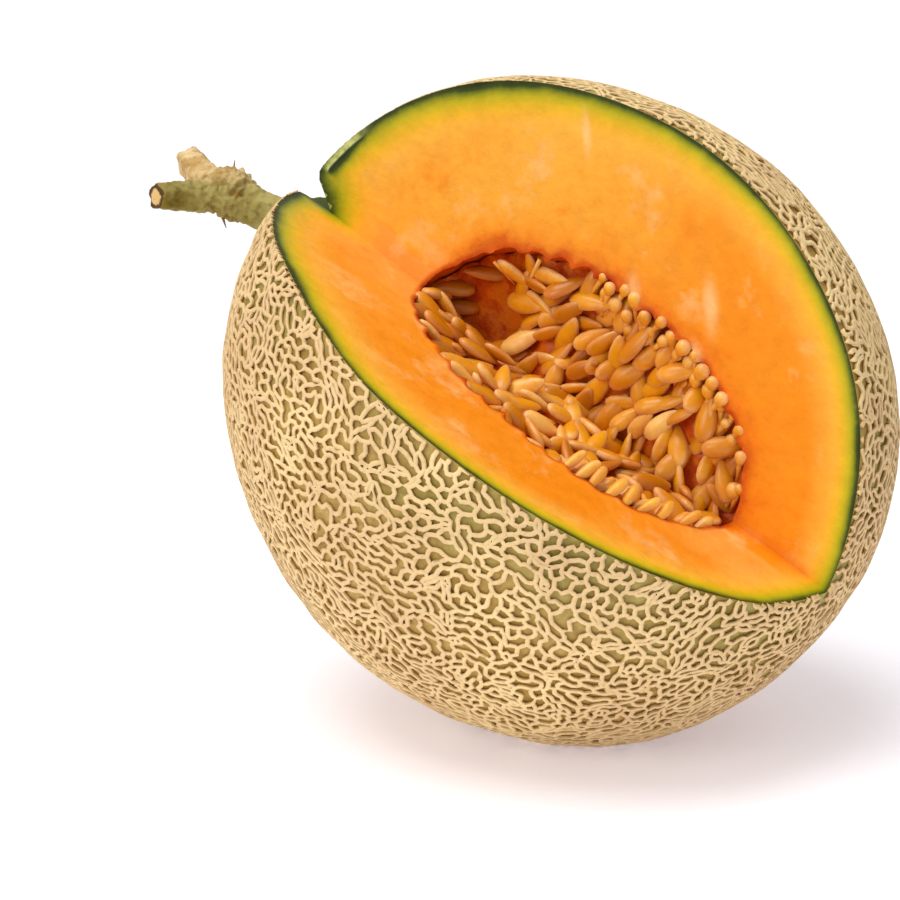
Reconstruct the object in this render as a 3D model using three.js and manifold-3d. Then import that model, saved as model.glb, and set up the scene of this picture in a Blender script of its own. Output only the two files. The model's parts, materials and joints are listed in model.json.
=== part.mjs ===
// A netted cantaloupe melon with one wedge cut out of it, in millimetres, +Z up.
// The fruit lies on its side on a small flat spot. Each piece is modelled in the fruit's own
// frame, with the stem end at +Z, and one group then lays the whole fruit over.

import * as THREE from 'three';
import { ConvexHull } from 'three/addons/math/ConvexHull.js';
import { mergeVertices } from 'three/addons/utils/BufferGeometryUtils.js';
import Module from 'manifold-3d';

// The fruit's own size, to its green skin
const SKIN_RADIUS = 74.4;
const SKIN_HALF_LENGTH = 82.2;
const STEM_END_TAPER = 0.016;

// The narrow pit that the stem stands in
const PIT_DEPTH = 15.5;
const PIT_RADIUS = 12;
const PIT_STEEPNESS = 8;
const PIT_RINGS = [0, 7.5, 9.5, 11, 12.5, 14, 16.5];

// Layers under the skin
const RIND_THICKNESS = 5;
const GAP = 0.3;

// How the fruit lies: its axis leans from upright, heads away to the left, and is rolled
const AXIS_LEAN = 57;
const AXIS_HEADING = 144.3;
const ROLL = 31.4;
const FLAT_SPOT_DEPTH = 2.7;

// The missing wedge: its inner edge passes beside the axis, and its two faces open from it
const WEDGE_EDGE = new THREE.Vector3(-3.4, 10.7, 0);
const WEDGE_EDGE_SLOPE = new THREE.Vector3(0.044, 0.017, 1);
const WEDGE_FRONT_ANGLE = 63;
const WEDGE_BACK_ANGLE = 154;
const WEDGE_REACH = 260;

// The seed cavity
const CAVITY_MIDDLE = new THREE.Vector3(2.5, 1.5, -6);
const CAVITY_RADIUS = 37.5;
const CAVITY_HALF_LENGTH = 49;
const CAVITY_RIBS = 9;
const CAVITY_RIB_DEPTH = 1.0;
const CAVITY_STEPS = { around: 27, along: 14 };

// The seeds and the soft pulp that they stand out of
const SEED_LENGTH = 11.5;
const SEED_WIDTH = 5;
const SEED_THICKNESS = 2.6;
const SEED_TAPER = 0.7;
const SEED_STEPS = { around: 6, along: 4 };
const SEED_ROWS = 4;
const SEED_SPACING = 9.5;
const ROW_SPACING = 8;
const PULP_WALL_GAP = 1.2;
const PULP_RECESS = 8;
const PULP_STEPS = { around: 16, along: 9 };
const SEED_WALL_GAP = 4.5;
const SEED_LIFT = 1;
const SEED_RISE = 0.15;
const SEED_SHAKE = { along: 2, out: 1.5, lift: 0.5, turn: 0.9, rise: 0.3, tilt: 0.5, size: 0.08 };
const SEED_SEED = 7;

// The raised net: its cells are about twice as wide as life
const NET_CELLS = 370;
const NET_JITTER = 0.33;
const NET_GAP = 0.6;
const NET_HEIGHT = 1.1;
const NET_INSET = 0.18;
const NET_SHORTEST = 1.6;
const NET_FREE_RADIUS = 16;
const NET_CUT_GAP = 0.1;
const NET_SEED = 41;

// The stem, the knot at its end, and the two cut ends of the vine that it grew from
const STEM_ROOT = new THREE.Vector3(0, 0, 68.5);
const STEM_RISE = new THREE.Vector3(0, 0, 77.2);
const STEM_BEND = new THREE.Vector3(8.8, 0.8, 90.2);
const STEM_KNOT = new THREE.Vector3(14.6, 1, 102.5);
const FRONT_VINE_END = new THREE.Vector3(29, 14.4, 111.2);
const BACK_VINE_END = new THREE.Vector3(15.2, -12.2, 126);
const STEM_ROOT_RADIUS = 6;
const STEM_RADIUS = 4.9;
const STEM_FLARE_LENGTH = 0.25;
const KNOT_RADIUS = 6.6;
const KNOT_STRETCH = new THREE.Vector3(0.95, 0.9, 1.1);
const KNOT_STEPS = 8;
const VINE_ROOT_RADIUS = 4.5;
const VINE_END_RADIUS = 3.42;
const VINE_BOW = 1;
const VINE_STEPS = 5;
const STEM_STEPS = 8;
const STEM_SIDES = 12;
const STEM_RIDGES = 4;
const STEM_RIDGE_DEPTH = 0.07;

const COLOURS = { flesh: 0xf79a35, rind: 0x86902c, net: 0xd8c08c, seeds: 0xd08a3a, stem: 0x9a9658 };
const ROUGHNESS = { flesh: 0.45, rind: 0.55, net: 0.8, seeds: 0.35, stem: 0.75 };

const DEG = Math.PI / 180;
const PROFILE_STEPS = 20;
const ROUND_STEPS = 38;
const OUTLINE_SAMPLES = 2000;
const WORK_BLOCK = 300;

const wasm = await Module();
wasm.setup();

// A repeatable stream of numbers between 0 and 1
function randomStream(seed) {
  let state = seed;
  return () => {
    state = (state + 0x6d2b79f5) | 0;
    let mixed = Math.imul(state ^ (state >>> 15), 1 | state);
    mixed = (mixed + Math.imul(mixed ^ (mixed >>> 7), 61 | mixed)) ^ mixed;
    return ((mixed ^ (mixed >>> 14)) >>> 0) / 4294967296;
  };
}

// A closed geometry as a solid, with its shared corners merged and empty triangles dropped
function toSolid(geometry) {
  geometry.deleteAttribute('normal');
  geometry.deleteAttribute('uv');
  const merged = mergeVertices(geometry, 1e-3);
  const corners = merged.index.array;
  const kept = [];
  for (let i = 0; i < corners.length; i += 3) {
    const [a, b, c] = [corners[i], corners[i + 1], corners[i + 2]];
    if (a !== b && b !== c && c !== a) {
      kept.push(a, b, c);
    }
  }
  const mesh = new wasm.Mesh({
    numProp: 3,
    vertProperties: new Float32Array(merged.attributes.position.array),
    triVerts: new Uint32Array(kept),
  });
  return new wasm.Manifold(mesh);
}

// A solid as a geometry with flat faces
function toGeometry(solid) {
  const mesh = solid.getMesh();
  const geometry = new THREE.BufferGeometry();
  geometry.setAttribute('position', new THREE.BufferAttribute(mesh.vertProperties, 3));
  geometry.setIndex(new THREE.BufferAttribute(mesh.triVerts, 1));
  return geometry;
}

// The largest separate piece of a solid, so that trimmed scraps are dropped
function largestPiece(solid) {
  const pieces = solid.decompose();
  return pieces.reduce((best, piece) => (piece.volume() > best.volume() ? piece : best));
}

// A point of the skin's outline, as radius and height, at an angle from the stem end. It can lie
// outside the skin by an offset, or inside it if that is negative.
function outlinePoint(angle, offset = 0) {
  const cosine = Math.cos(angle);
  const sine = Math.abs(Math.sin(angle));
  const swell = 1 + STEM_END_TAPER * 0.5 * (5 * cosine ** 3 - 3 * cosine);
  const normal = new THREE.Vector2(sine / SKIN_RADIUS, cosine / SKIN_HALF_LENGTH).normalize();
  const radius = SKIN_RADIUS * swell * sine + normal.x * offset;
  let height = SKIN_HALF_LENGTH * swell * cosine + normal.y * offset;
  if (cosine > 0) {
    height -= PIT_DEPTH * Math.exp(-((radius / (PIT_RADIUS - offset)) ** PIT_STEEPNESS));
  }
  return new THREE.Vector2(radius, height);
}

// A solid of revolution about Z through an outline that runs from its top to its bottom
function revolve(outline) {
  const rising = [...outline].reverse();
  const geometry = new THREE.LatheGeometry(rising, ROUND_STEPS);
  geometry.rotateX(Math.PI / 2);
  return toSolid(geometry);
}

// The fruit's body out to an offset from the skin, with rings set closer in the pit
function fruitBody(offset) {
  const pitAngles = PIT_RINGS.map((radius) => Math.asin((radius - Math.min(offset, 0)) / SKIN_RADIUS));
  pitAngles[0] = 0;
  const start = pitAngles[pitAngles.length - 1];
  const angles = [...pitAngles];
  for (let i = 1; i <= PROFILE_STEPS; i += 1) {
    angles.push(start + ((Math.PI - start) * i) / PROFILE_STEPS);
  }
  const outline = angles.map((angle) => outlinePoint(angle, offset));
  outline[0].x = 0;
  outline[outline.length - 1].x = 0;
  return revolve(outline);
}

// The wedge's tool, pushed deeper along its middle by a distance
function wedgeTool(deeper = 0) {
  const middle = ((WEDGE_FRONT_ANGLE + WEDGE_BACK_ANGLE) / 2) * DEG;
  const outline = new THREE.Shape([
    new THREE.Vector2(0, 0),
    new THREE.Vector2(Math.cos(WEDGE_FRONT_ANGLE * DEG), Math.sin(WEDGE_FRONT_ANGLE * DEG))
      .multiplyScalar(WEDGE_REACH),
    new THREE.Vector2(Math.cos(WEDGE_BACK_ANGLE * DEG), Math.sin(WEDGE_BACK_ANGLE * DEG))
      .multiplyScalar(WEDGE_REACH),
  ]);
  const geometry = new THREE.ExtrudeGeometry(outline, { depth: WEDGE_REACH, bevelEnabled: false });
  geometry.translate(-deeper * Math.cos(middle), -deeper * Math.sin(middle), -WEDGE_REACH / 2);
  const upright = new THREE.Vector3(0, 0, 1);
  const along = WEDGE_EDGE_SLOPE.clone().normalize();
  geometry.applyQuaternion(new THREE.Quaternion().setFromUnitVectors(upright, along));
  geometry.translate(...WEDGE_EDGE.toArray());
  return toSolid(geometry);
}

// The seed cavity, with soft ribs along it, smaller all round by an inset
function cavity(inset, steps = CAVITY_STEPS) {
  const geometry = new THREE.SphereGeometry(1, steps.around, steps.along);
  geometry.rotateX(Math.PI / 2);
  const place = geometry.attributes.position;
  const point = new THREE.Vector3();
  for (let i = 0; i < place.count; i += 1) {
    point.fromBufferAttribute(place, i);
    const around = Math.atan2(point.y, point.x);
    const rib = CAVITY_RIB_DEPTH * Math.cos(CAVITY_RIBS * around) * Math.hypot(point.x, point.y);
    const radius = CAVITY_RADIUS - inset + rib;
    point.set(point.x * radius, point.y * radius, point.z * (CAVITY_HALF_LENGTH - inset));
    place.setXYZ(i, ...point.add(CAVITY_MIDDLE).toArray());
  }
  return toSolid(geometry);
}

// Lays the fruit over on its side, with the flat spot's plane at Z = 0
const layOver = new THREE.Matrix4()
  .makeRotationZ(AXIS_HEADING * DEG)
  .multiply(new THREE.Matrix4().makeRotationY(AXIS_LEAN * DEG))
  .multiply(new THREE.Matrix4().makeRotationZ(ROLL * DEG));

// Height of the flat spot below the fruit's middle
function flatSpotDrop() {
  const down = new THREE.Vector3(0, 0, -1).transformDirection(layOver.clone().invert());
  const sideways = Math.hypot(down.x, down.y);
  let lowest = 0;
  for (let i = 0; i <= OUTLINE_SAMPLES; i += 1) {
    const point = outlinePoint((Math.PI * i) / OUTLINE_SAMPLES);
    lowest = Math.max(lowest, point.x * sideways + point.y * down.z);
  }
  return lowest - FLAT_SPOT_DEPTH;
}
const DROP = flatSpotDrop();

// A block that takes away all that lies below the flat spot, raised by a small height
function belowFloor(raise = 0) {
  const geometry = new THREE.BoxGeometry(WORK_BLOCK, WORK_BLOCK, WORK_BLOCK);
  geometry.translate(0, 0, -WORK_BLOCK / 2 - DROP + raise);
  geometry.applyMatrix4(layOver.clone().invert());
  return toSolid(geometry);
}

function makeFlesh() {
  return fruitBody(-RIND_THICKNESS - GAP).subtract(wedgeTool()).subtract(cavity(0));
}

function makeRind() {
  const shell = fruitBody(0).subtract(fruitBody(-RIND_THICKNESS));
  return shell.subtract(wedgeTool()).subtract(belowFloor());
}

// Directions spread evenly over a ball and then shaken, one for each cell of the net
function netCellMiddles() {
  const random = randomStream(NET_SEED);
  const golden = Math.PI * (3 - Math.sqrt(5));
  const spread = Math.sqrt((4 * Math.PI) / NET_CELLS) * NET_JITTER;
  const middles = [];
  for (let i = 0; i < NET_CELLS; i += 1) {
    const z = 1 - (2 * (i + 0.5)) / NET_CELLS;
    const radius = Math.sqrt(1 - z * z);
    const middle = new THREE.Vector3(radius * Math.cos(golden * i), radius * Math.sin(golden * i), z);
    middle.x += spread * (2 * random() - 1);
    middle.y += spread * (2 * random() - 1);
    middle.z += spread * (2 * random() - 1);
    middles.push(middle.normalize());
  }
  return middles;
}

// The point above the skin that lies in a direction from the fruit's middle
function aboveSkin(direction, height) {
  const angle = Math.acos(THREE.MathUtils.clamp(direction.z, -1, 1));
  const around = Math.atan2(direction.y, direction.x);
  const point = outlinePoint(angle, height);
  return new THREE.Vector3(point.x * Math.cos(around), point.x * Math.sin(around), point.y);
}

// Corners of the net where three cells meet, with corners that nearly touch drawn together
function netCorners(hull) {
  const corners = new Map(hull.faces.map((face) => [face, face.normal.clone()]));
  for (const face of hull.faces) {
    let edge = face.edge;
    do {
      const other = corners.get(edge.twin.face);
      const own = corners.get(face);
      if (own !== other && own.distanceTo(other) < NET_SHORTEST / SKIN_RADIUS) {
        const shared = own.clone().add(other).normalize();
        for (const [key, value] of corners) {
          if (value === own || value === other) {
            corners.set(key, shared);
          }
        }
      }
      edge = edge.next;
    } while (edge !== face.edge);
  }
  return corners;
}

// The raised net: each cell's border slopes up from the cell to a crest shared with its
// neighbours, and strips under the crests close it into one body
function makeNet() {
  const middles = netCellMiddles();
  const hull = new ConvexHull().setFromPoints(middles);
  const corners = netCorners(hull);
  const triangles = [];
  const quad = (a, b, c, d) => triangles.push(a, b, c, a, c, d);

  const foot = (corner, middle) => aboveSkin(corner.clone().lerp(middle, NET_INSET).normalize(), NET_GAP);
  const crest = (corner) => aboveSkin(corner, NET_GAP + NET_HEIGHT);

  for (const face of hull.faces) {
    const here = corners.get(face);
    const feet = [];
    let edge = face.edge;
    do {
      const there = corners.get(edge.twin.face);
      const left = edge.head().point;
      const right = edge.tail().point;
      feet.push(foot(here, left));
      quad(crest(here), crest(there), foot(there, left), foot(here, left));
      if (here !== there && edge.head().point.x < edge.tail().point.x) {
        quad(foot(here, left), foot(there, left), foot(there, right), foot(here, right));
      }
      edge = edge.next;
    } while (edge !== face.edge);
    triangles.push(feet[0], feet[2], feet[1]);
  }

  const geometry = new THREE.BufferGeometry().setFromPoints(triangles);
  const plug = new THREE.CylinderGeometry(NET_FREE_RADIUS, NET_FREE_RADIUS, WORK_BLOCK, ROUND_STEPS);
  plug.rotateX(Math.PI / 2);
  plug.translate(0, 0, WORK_BLOCK / 2);
  const clear = toSolid(geometry).subtract(fruitBody(GAP)).subtract(toSolid(plug));
  return largestPiece(clear.subtract(wedgeTool(NET_CUT_GAP)).subtract(belowFloor(NET_CUT_GAP)));
}

// One seed: a flat drop, pointed at its inner end
function seedShape(size) {
  const geometry = new THREE.SphereGeometry(0.5, SEED_STEPS.around, SEED_STEPS.along);
  const place = geometry.attributes.position;
  for (let i = 0; i < place.count; i += 1) {
    const along = place.getY(i);
    place.setXYZ(
      i,
      place.getX(i) * SEED_WIDTH * size * (1 - SEED_TAPER * along),
      along * SEED_LENGTH * size,
      place.getZ(i) * SEED_THICKNESS * size,
    );
  }
  return geometry;
}

// Whether a seed at a point would reach the cavity's wall
function nearCavityWall(point) {
  const fromMiddle = point.clone().sub(CAVITY_MIDDLE);
  const across = Math.hypot(fromMiddle.x, fromMiddle.y) / (CAVITY_RADIUS - SEED_WALL_GAP);
  return Math.hypot(across, fromMiddle.z / (CAVITY_HALF_LENGTH - SEED_WALL_GAP)) > 1;
}

// Seeds lie in rows on both slopes of the pulp, heads out, half sunk in it
function makeSeeds() {
  const random = randomStream(SEED_SEED);
  const shake = (amount) => amount * (2 * random() - 1);
  const upright = new THREE.Vector3(0, 0, 1);
  const middle = ((WEDGE_FRONT_ANGLE + WEDGE_BACK_ANGLE) / 2) * DEG;
  const inward = new THREE.Vector3(-Math.cos(middle), -Math.sin(middle), 0);
  const edge = WEDGE_EDGE.clone().addScaledVector(inward, PULP_RECESS);
  let mass = cavity(PULP_WALL_GAP, PULP_STEPS).subtract(wedgeTool(PULP_RECESS));
  for (const [angle, side] of [[WEDGE_FRONT_ANGLE, 1], [WEDGE_BACK_ANGLE, -1]]) {
    const out = new THREE.Vector3(Math.cos(angle * DEG), Math.sin(angle * DEG), 0);
    const lift = new THREE.Vector3().crossVectors(upright, out).multiplyScalar(side);
    for (let row = 0; row < SEED_ROWS; row += 1) {
      for (let z = -CAVITY_HALF_LENGTH; z < CAVITY_HALF_LENGTH; z += SEED_SPACING) {
        const along = z + CAVITY_MIDDLE.z + shake(SEED_SHAKE.along) + (row % 2) * SEED_SPACING * 0.5;
        const place = edge.clone().addScaledVector(WEDGE_EDGE_SLOPE, along);
        place.addScaledVector(out, (row + 0.5) * ROW_SPACING + shake(SEED_SHAKE.out));
        place.addScaledVector(lift, SEED_LIFT + shake(SEED_SHAKE.lift));
        if (nearCavityWall(place)) {
          continue;
        }
        const heading = out.clone().negate();
        heading.z += shake(SEED_SHAKE.turn);
        heading.addScaledVector(lift, SEED_RISE + shake(SEED_SHAKE.rise)).normalize();
        const flat = lift.clone().addScaledVector(upright, shake(SEED_SHAKE.tilt));
        const wide = new THREE.Vector3().crossVectors(heading, flat).normalize();
        flat.crossVectors(wide, heading);
        const seed = seedShape(1 + shake(SEED_SHAKE.size));
        seed.applyMatrix4(new THREE.Matrix4().makeBasis(wide, heading, flat).setPosition(place));
        mass = mass.add(toSolid(seed));
      }
    }
  }
  return largestPiece(mass.intersect(cavity(GAP)));
}

// A round rod bent along a curve, with a radius that changes along it
function bentRod(curve, radiusAt, steps) {
  const geometry = new THREE.CylinderGeometry(1, 1, 1, STEM_SIDES, steps);
  const frames = curve.computeFrenetFrames(steps, false);
  const place = geometry.attributes.position;
  for (let i = 0; i < place.count; i += 1) {
    const step = Math.round((place.getY(i) + 0.5) * steps);
    const part = step / steps;
    const around = Math.atan2(place.getZ(i), place.getX(i));
    const radius = Math.hypot(place.getX(i), place.getZ(i)) * radiusAt(part, around);
    const point = curve.getPointAt(part);
    point.addScaledVector(frames.binormals[step], radius * Math.cos(around));
    point.addScaledVector(frames.normals[step], radius * Math.sin(around));
    place.setXYZ(i, ...point.toArray());
  }
  return toSolid(geometry);
}

// The ridged stem, swollen to a knot where it left the vine, with the vine's two cut ends
function makeStem() {
  const ridged = (around) => 1 + STEM_RIDGE_DEPTH * Math.cos(STEM_RIDGES * around);
  const stalk = bentRod(
    new THREE.CatmullRomCurve3([STEM_ROOT, STEM_RISE, STEM_BEND, STEM_KNOT]),
    (part, around) => {
      const flare = (STEM_ROOT_RADIUS - STEM_RADIUS) * Math.exp(-((part / STEM_FLARE_LENGTH) ** 2));
      return (STEM_RADIUS + flare) * ridged(around);
    },
    STEM_STEPS,
  );
  const knot = new THREE.SphereGeometry(KNOT_RADIUS, STEM_SIDES, KNOT_STEPS);
  knot.scale(...KNOT_STRETCH.toArray());
  knot.translate(...STEM_KNOT.toArray());
  const vineEnd = (end, bow) => {
    const middle = STEM_KNOT.clone().lerp(end, 0.5);
    middle.z += bow;
    return bentRod(
      new THREE.CatmullRomCurve3([STEM_KNOT, middle, end]),
      (part, around) => THREE.MathUtils.lerp(VINE_ROOT_RADIUS, VINE_END_RADIUS, part) * ridged(around),
      VINE_STEPS,
    );
  };
  const frontEnd = vineEnd(FRONT_VINE_END, -VINE_BOW);
  const backEnd = vineEnd(BACK_VINE_END, VINE_BOW);
  return stalk.add(toSolid(knot)).add(frontEnd).add(backEnd);
}

const root = new THREE.Group();
const fruit = new THREE.Group();
fruit.applyMatrix4(layOver);
fruit.position.set(0, 0, DROP);
root.add(fruit);

const pieces = {
  flesh: makeFlesh(),
  rind: makeRind(),
  net: makeNet(),
  seeds: makeSeeds(),
  stem: makeStem(),
};
for (const [name, solid] of Object.entries(pieces)) {
  const material = new THREE.MeshStandardMaterial({
    color: COLOURS[name],
    roughness: ROUGHNESS[name],
    metalness: 0,
    flatShading: true,
  });
  const mesh = new THREE.Mesh(toGeometry(solid), material);
  mesh.name = name;
  fruit.add(mesh);
}

export default root;
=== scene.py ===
# %% [markdown]
# A netted cantaloupe melon with a wedge cut out
#
# The fruit lies on its side on a small flat spot. Its stem end points back and to the left, and
# one wedge is gone, so the orange flesh and the seeds show. Four things are built over the solid
# model: the body with its cut faces, the corky net on its skin, the seeds in their soft pulp,
# and the dry stem. Each is modelled in the fruit's own frame, in millimetres with the stem end
# at +Z, and is then laid over on its side.

# %% Load the solid model
import json
import math
import random

import bmesh
import bpy
import numpy as np
from mathutils import Matrix, Vector, noise
from mathutils.bvhtree import BVHTree

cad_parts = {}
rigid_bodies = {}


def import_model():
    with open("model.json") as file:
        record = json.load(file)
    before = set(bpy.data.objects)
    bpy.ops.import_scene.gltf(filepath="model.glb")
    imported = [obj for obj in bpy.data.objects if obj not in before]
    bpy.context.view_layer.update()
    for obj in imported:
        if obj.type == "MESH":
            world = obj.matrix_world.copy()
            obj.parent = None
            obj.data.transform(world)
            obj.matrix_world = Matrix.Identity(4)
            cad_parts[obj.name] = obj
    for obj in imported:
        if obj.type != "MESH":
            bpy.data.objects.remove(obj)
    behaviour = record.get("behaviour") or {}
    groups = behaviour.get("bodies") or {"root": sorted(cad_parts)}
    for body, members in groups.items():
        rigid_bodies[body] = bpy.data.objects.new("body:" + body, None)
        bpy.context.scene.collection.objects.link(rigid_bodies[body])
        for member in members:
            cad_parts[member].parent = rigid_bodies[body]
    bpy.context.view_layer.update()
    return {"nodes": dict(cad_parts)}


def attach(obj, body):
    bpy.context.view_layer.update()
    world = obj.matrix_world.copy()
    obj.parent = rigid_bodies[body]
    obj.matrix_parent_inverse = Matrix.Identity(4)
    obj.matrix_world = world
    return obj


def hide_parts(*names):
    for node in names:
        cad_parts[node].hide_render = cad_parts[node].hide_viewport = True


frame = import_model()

print("solid model:", sorted(frame["nodes"]))

# %% [markdown]
# The fruit's sizes
#
# They are the solid model's own sizes, so that each piece lands where its solid is. The skin is
# an ellipsoid, a little fuller at the stem end, with a narrow pit that the stem stands in. The
# wedge is bounded by two faces that meet in an edge beside the fruit's axis.

# %% Sizes in millimetres
MM = 0.001
SKIN_RADIUS = 74.4
SKIN_HALF_LENGTH = 82.2
STEM_END_TAPER = 0.016
PIT_DEPTH = 15.5
PIT_RADIUS = 12.0
PIT_STEEPNESS = 8.0
AXIS_LEAN = math.radians(57)
AXIS_HEADING = math.radians(144.3)
ROLL = math.radians(31.4)
DROP = 74.5688

WEDGE_EDGE = Vector((-3.4, 10.7, 0))
WEDGE_SLOPE = Vector((0.044, 0.017, 1)).normalized()
FRONT_ANGLE = math.radians(63)
BACK_ANGLE = math.radians(154)
print("fruit", 2 * SKIN_RADIUS, "mm across and", 2 * SKIN_HALF_LENGTH, "mm long")
print("wedge of", round(math.degrees(BACK_ANGLE - FRONT_ANGLE)), "degrees")

# %% [markdown]
# Two frames
#
# Spun and wrapped shapes are simplest with the fruit's axis straight up, but the fruit lies over.
# Each object could be turned instead, but then patterns would depend on that turn. So
# one matrix carries a finished piece's points from its own frame into the room. Its inverse brings
# the room's directions back, so that a piece can be told which way is down or away from the viewer.

# %% From the fruit's frame to the room's
VIEW_PITCH = math.radians(12)
LAY_OVER = (
    Matrix.Translation((0, 0, DROP * MM))
    @ Matrix.Rotation(AXIS_HEADING, 4, "Z")
    @ Matrix.Rotation(AXIS_LEAN, 4, "Y")
    @ Matrix.Rotation(ROLL, 4, "Z")
    @ Matrix.Scale(MM, 4)
)
TO_FRUIT = LAY_OVER.inverted()


def outward(angle):
    """The direction away from the fruit's axis at an angle round it."""
    return Vector((math.cos(angle), math.sin(angle), 0))


def fruit_way(x, y, z):
    """A direction of the room as a direction in the fruit's frame."""
    return (TO_FRUIT.to_3x3() @ Vector((x, y, z))).normalized()


FRONT_OUT = outward(FRONT_ANGLE)
BACK_OUT = outward(BACK_ANGLE)
WEDGE_OUT = outward((FRONT_ANGLE + BACK_ANGLE) / 2)
FRONT_NORMAL = WEDGE_SLOPE.cross(FRONT_OUT).normalized()
BACK_NORMAL = BACK_OUT.cross(WEDGE_SLOPE).normalized()
DOWN = fruit_way(0, 0, -1)
RIGHT = fruit_way(1, 0, 0)
UP = fruit_way(0, math.sin(VIEW_PITCH), math.cos(VIEW_PITCH))
AWAY = fruit_way(0, math.cos(VIEW_PITCH), -math.sin(VIEW_PITCH))
print("down, in the fruit's frame:", [round(part, 2) for part in DOWN])

# %% [markdown]
# The skin's outline
#
# The fruit is round about its axis. It could be a stretched ball that is then sculpted, but one
# outline describes it in numbers that every piece can share: a half ellipse, fuller at the stem
# end, with a pit there. Points above the skin are found square to that outline, with slow lumps
# added, because no fruit is perfectly round.

# %% The skin's outline
SKIN_LUMPS = 0.16


def smooth_part(value, low, high):
    """0 below low, 1 above high and a soft change between them."""
    part = min(1.0, max(0.0, (value - low) / (high - low)))
    return part * part * (3 - 2 * part)


def outline(angle, pit_depth=PIT_DEPTH):
    """Radius and height of the skin at an angle from the stem end."""
    cosine = np.cos(angle)
    swell = 1 + STEM_END_TAPER * 0.5 * (5 * cosine**3 - 3 * cosine)
    radius = np.abs(SKIN_RADIUS * swell * np.sin(angle))
    pit = pit_depth * np.exp(-((radius / PIT_RADIUS) ** PIT_STEEPNESS))
    return radius, SKIN_HALF_LENGTH * swell * cosine - np.where(cosine > 0, pit, 0)


def skin_points(directions, heights=0.0):
    """The points above the skin that belong to directions from the fruit's middle."""
    angle = np.arccos(np.clip(directions[:, 2], -1, 1))
    around = np.arctan2(directions[:, 1], directions[:, 0])
    step = 0.004
    before = np.stack(outline(np.maximum(angle - step, 0)))
    after = np.stack(outline(np.minimum(angle + step, math.pi)))
    along = (after - before) / np.linalg.norm(after - before, axis=0)
    radius, level = outline(angle)
    lumps = np.sin(directions[:, 0] * 7 + 1) * np.sin(directions[:, 1] * 8) + np.sin(directions[:, 2] * 9 + 2)
    height = heights + SKIN_LUMPS * lumps
    radius = radius - along[1] * height
    level = level + along[0] * height
    return np.stack([radius * np.cos(around), radius * np.sin(around), level], 1)


print("bottom of the pit", round(float(outline(0.0)[1]), 1), "mm above the middle")

# %% [markdown]
# The two cut faces
#
# Both faces start at one edge beside the axis. Two flat planes would be the simplest cut, but the
# front face bulges a little out of its plane: the knife turned in the hand as it went, which is
# what makes a real cut look cut. Every later piece asks these two functions where a face is, so
# that all of them agree.

# %% The cut faces
STEM_BULGE, STEM_SINK, FAR_BULGE = 4.4, 2.0, 2.5


def front_bulge(reach, along):
    """How far the front face stands out of its plane, at a distance from the wedge's edge."""
    stem_end = smooth_part(along, 5, 50)
    far_end = smooth_part(-along, 30, 75)
    near_edge = max(0, 1 - reach / 20)
    return stem_end * (STEM_BULGE * min(1, reach / 50) - STEM_SINK) + far_end * FAR_BULGE * near_edge


def face_point(side, reach, along, under=0.0):
    """A point of the front or back cut face, or under it, from its distance along each way."""
    place = WEDGE_EDGE + WEDGE_SLOPE * along
    if side == "front":
        return place + FRONT_OUT * reach + FRONT_NORMAL * (front_bulge(reach, along) - under)
    return place + BACK_OUT * (reach + front_bulge(0, along) * max(0, 1 - reach / 30)) - BACK_NORMAL * under


print("the front face bulges", round(front_bulge(50, 50), 1), "mm at the stem end")

# %% [markdown]
# From a mesh to a finished piece
#
# Every piece is modelled in the fruit's own frame, where its axis is straight up and sizes are in
# millimetres, because a spun shape is simplest there. It is laid over on its side only when it is
# finished, so its object can stay at the origin, unturned and unscaled.

# %% Finished pieces
def set_places(bm, places):
    """Moves every vertex of a mesh to its place in an array."""
    for vert, place in zip(bm.verts, places):
        vert.co = place


def finish_piece(name, bm, materials, node):
    """Lays a mesh that was made in the fruit's frame over, and makes it an object."""
    bmesh.ops.transform(bm, matrix=LAY_OVER, verts=bm.verts)
    bmesh.ops.recalc_face_normals(bm, faces=bm.faces)
    mesh = bpy.data.meshes.new(name)
    bm.to_mesh(mesh)
    bm.free()
    mesh.shade_smooth()
    piece = bpy.data.objects.new(name, mesh)
    bpy.context.scene.collection.objects.link(piece)
    for material in materials:
        mesh.materials.append(material)
    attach(piece, "root")
    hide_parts(*node)
    mesh.calc_loop_triangles()
    print(f"{name}: {len(mesh.loop_triangles)} triangles")
    return piece


# %% [markdown]
# Cutting one solid with another
#
# A knife's cut is a difference of two solids. Faces could be deleted and the hole be sewn up by
# hand, but the boolean modifier's manifold solver is quick and leaves closed meshes, as long as
# both solids are closed too. The flat spot is simpler: one plane cuts the mesh in two, and the
# hole is filled.

# %% Cuts
def solid_object(name, bm):
    """A working solid in the fruit's frame."""
    bmesh.ops.recalc_face_normals(bm, faces=bm.faces)
    mesh = bpy.data.meshes.new(name)
    bm.to_mesh(mesh)
    bm.free()
    solid = bpy.data.objects.new(name, mesh)
    bpy.context.scene.collection.objects.link(solid)
    return solid


def carve(base, *tools):
    """Takes working solids away from another, and gives the result as a bmesh."""
    for tool in tools:
        cut = base.modifiers.new(tool.name, "BOOLEAN")
        cut.operation = "DIFFERENCE"
        cut.object = tool
        cut.solver = "MANIFOLD"
    graph = bpy.context.evaluated_depsgraph_get()
    bm = bmesh.new()
    bm.from_mesh(base.evaluated_get(graph).data)
    for used in (base, *tools):
        bpy.data.objects.remove(used)
    return bm


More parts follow.
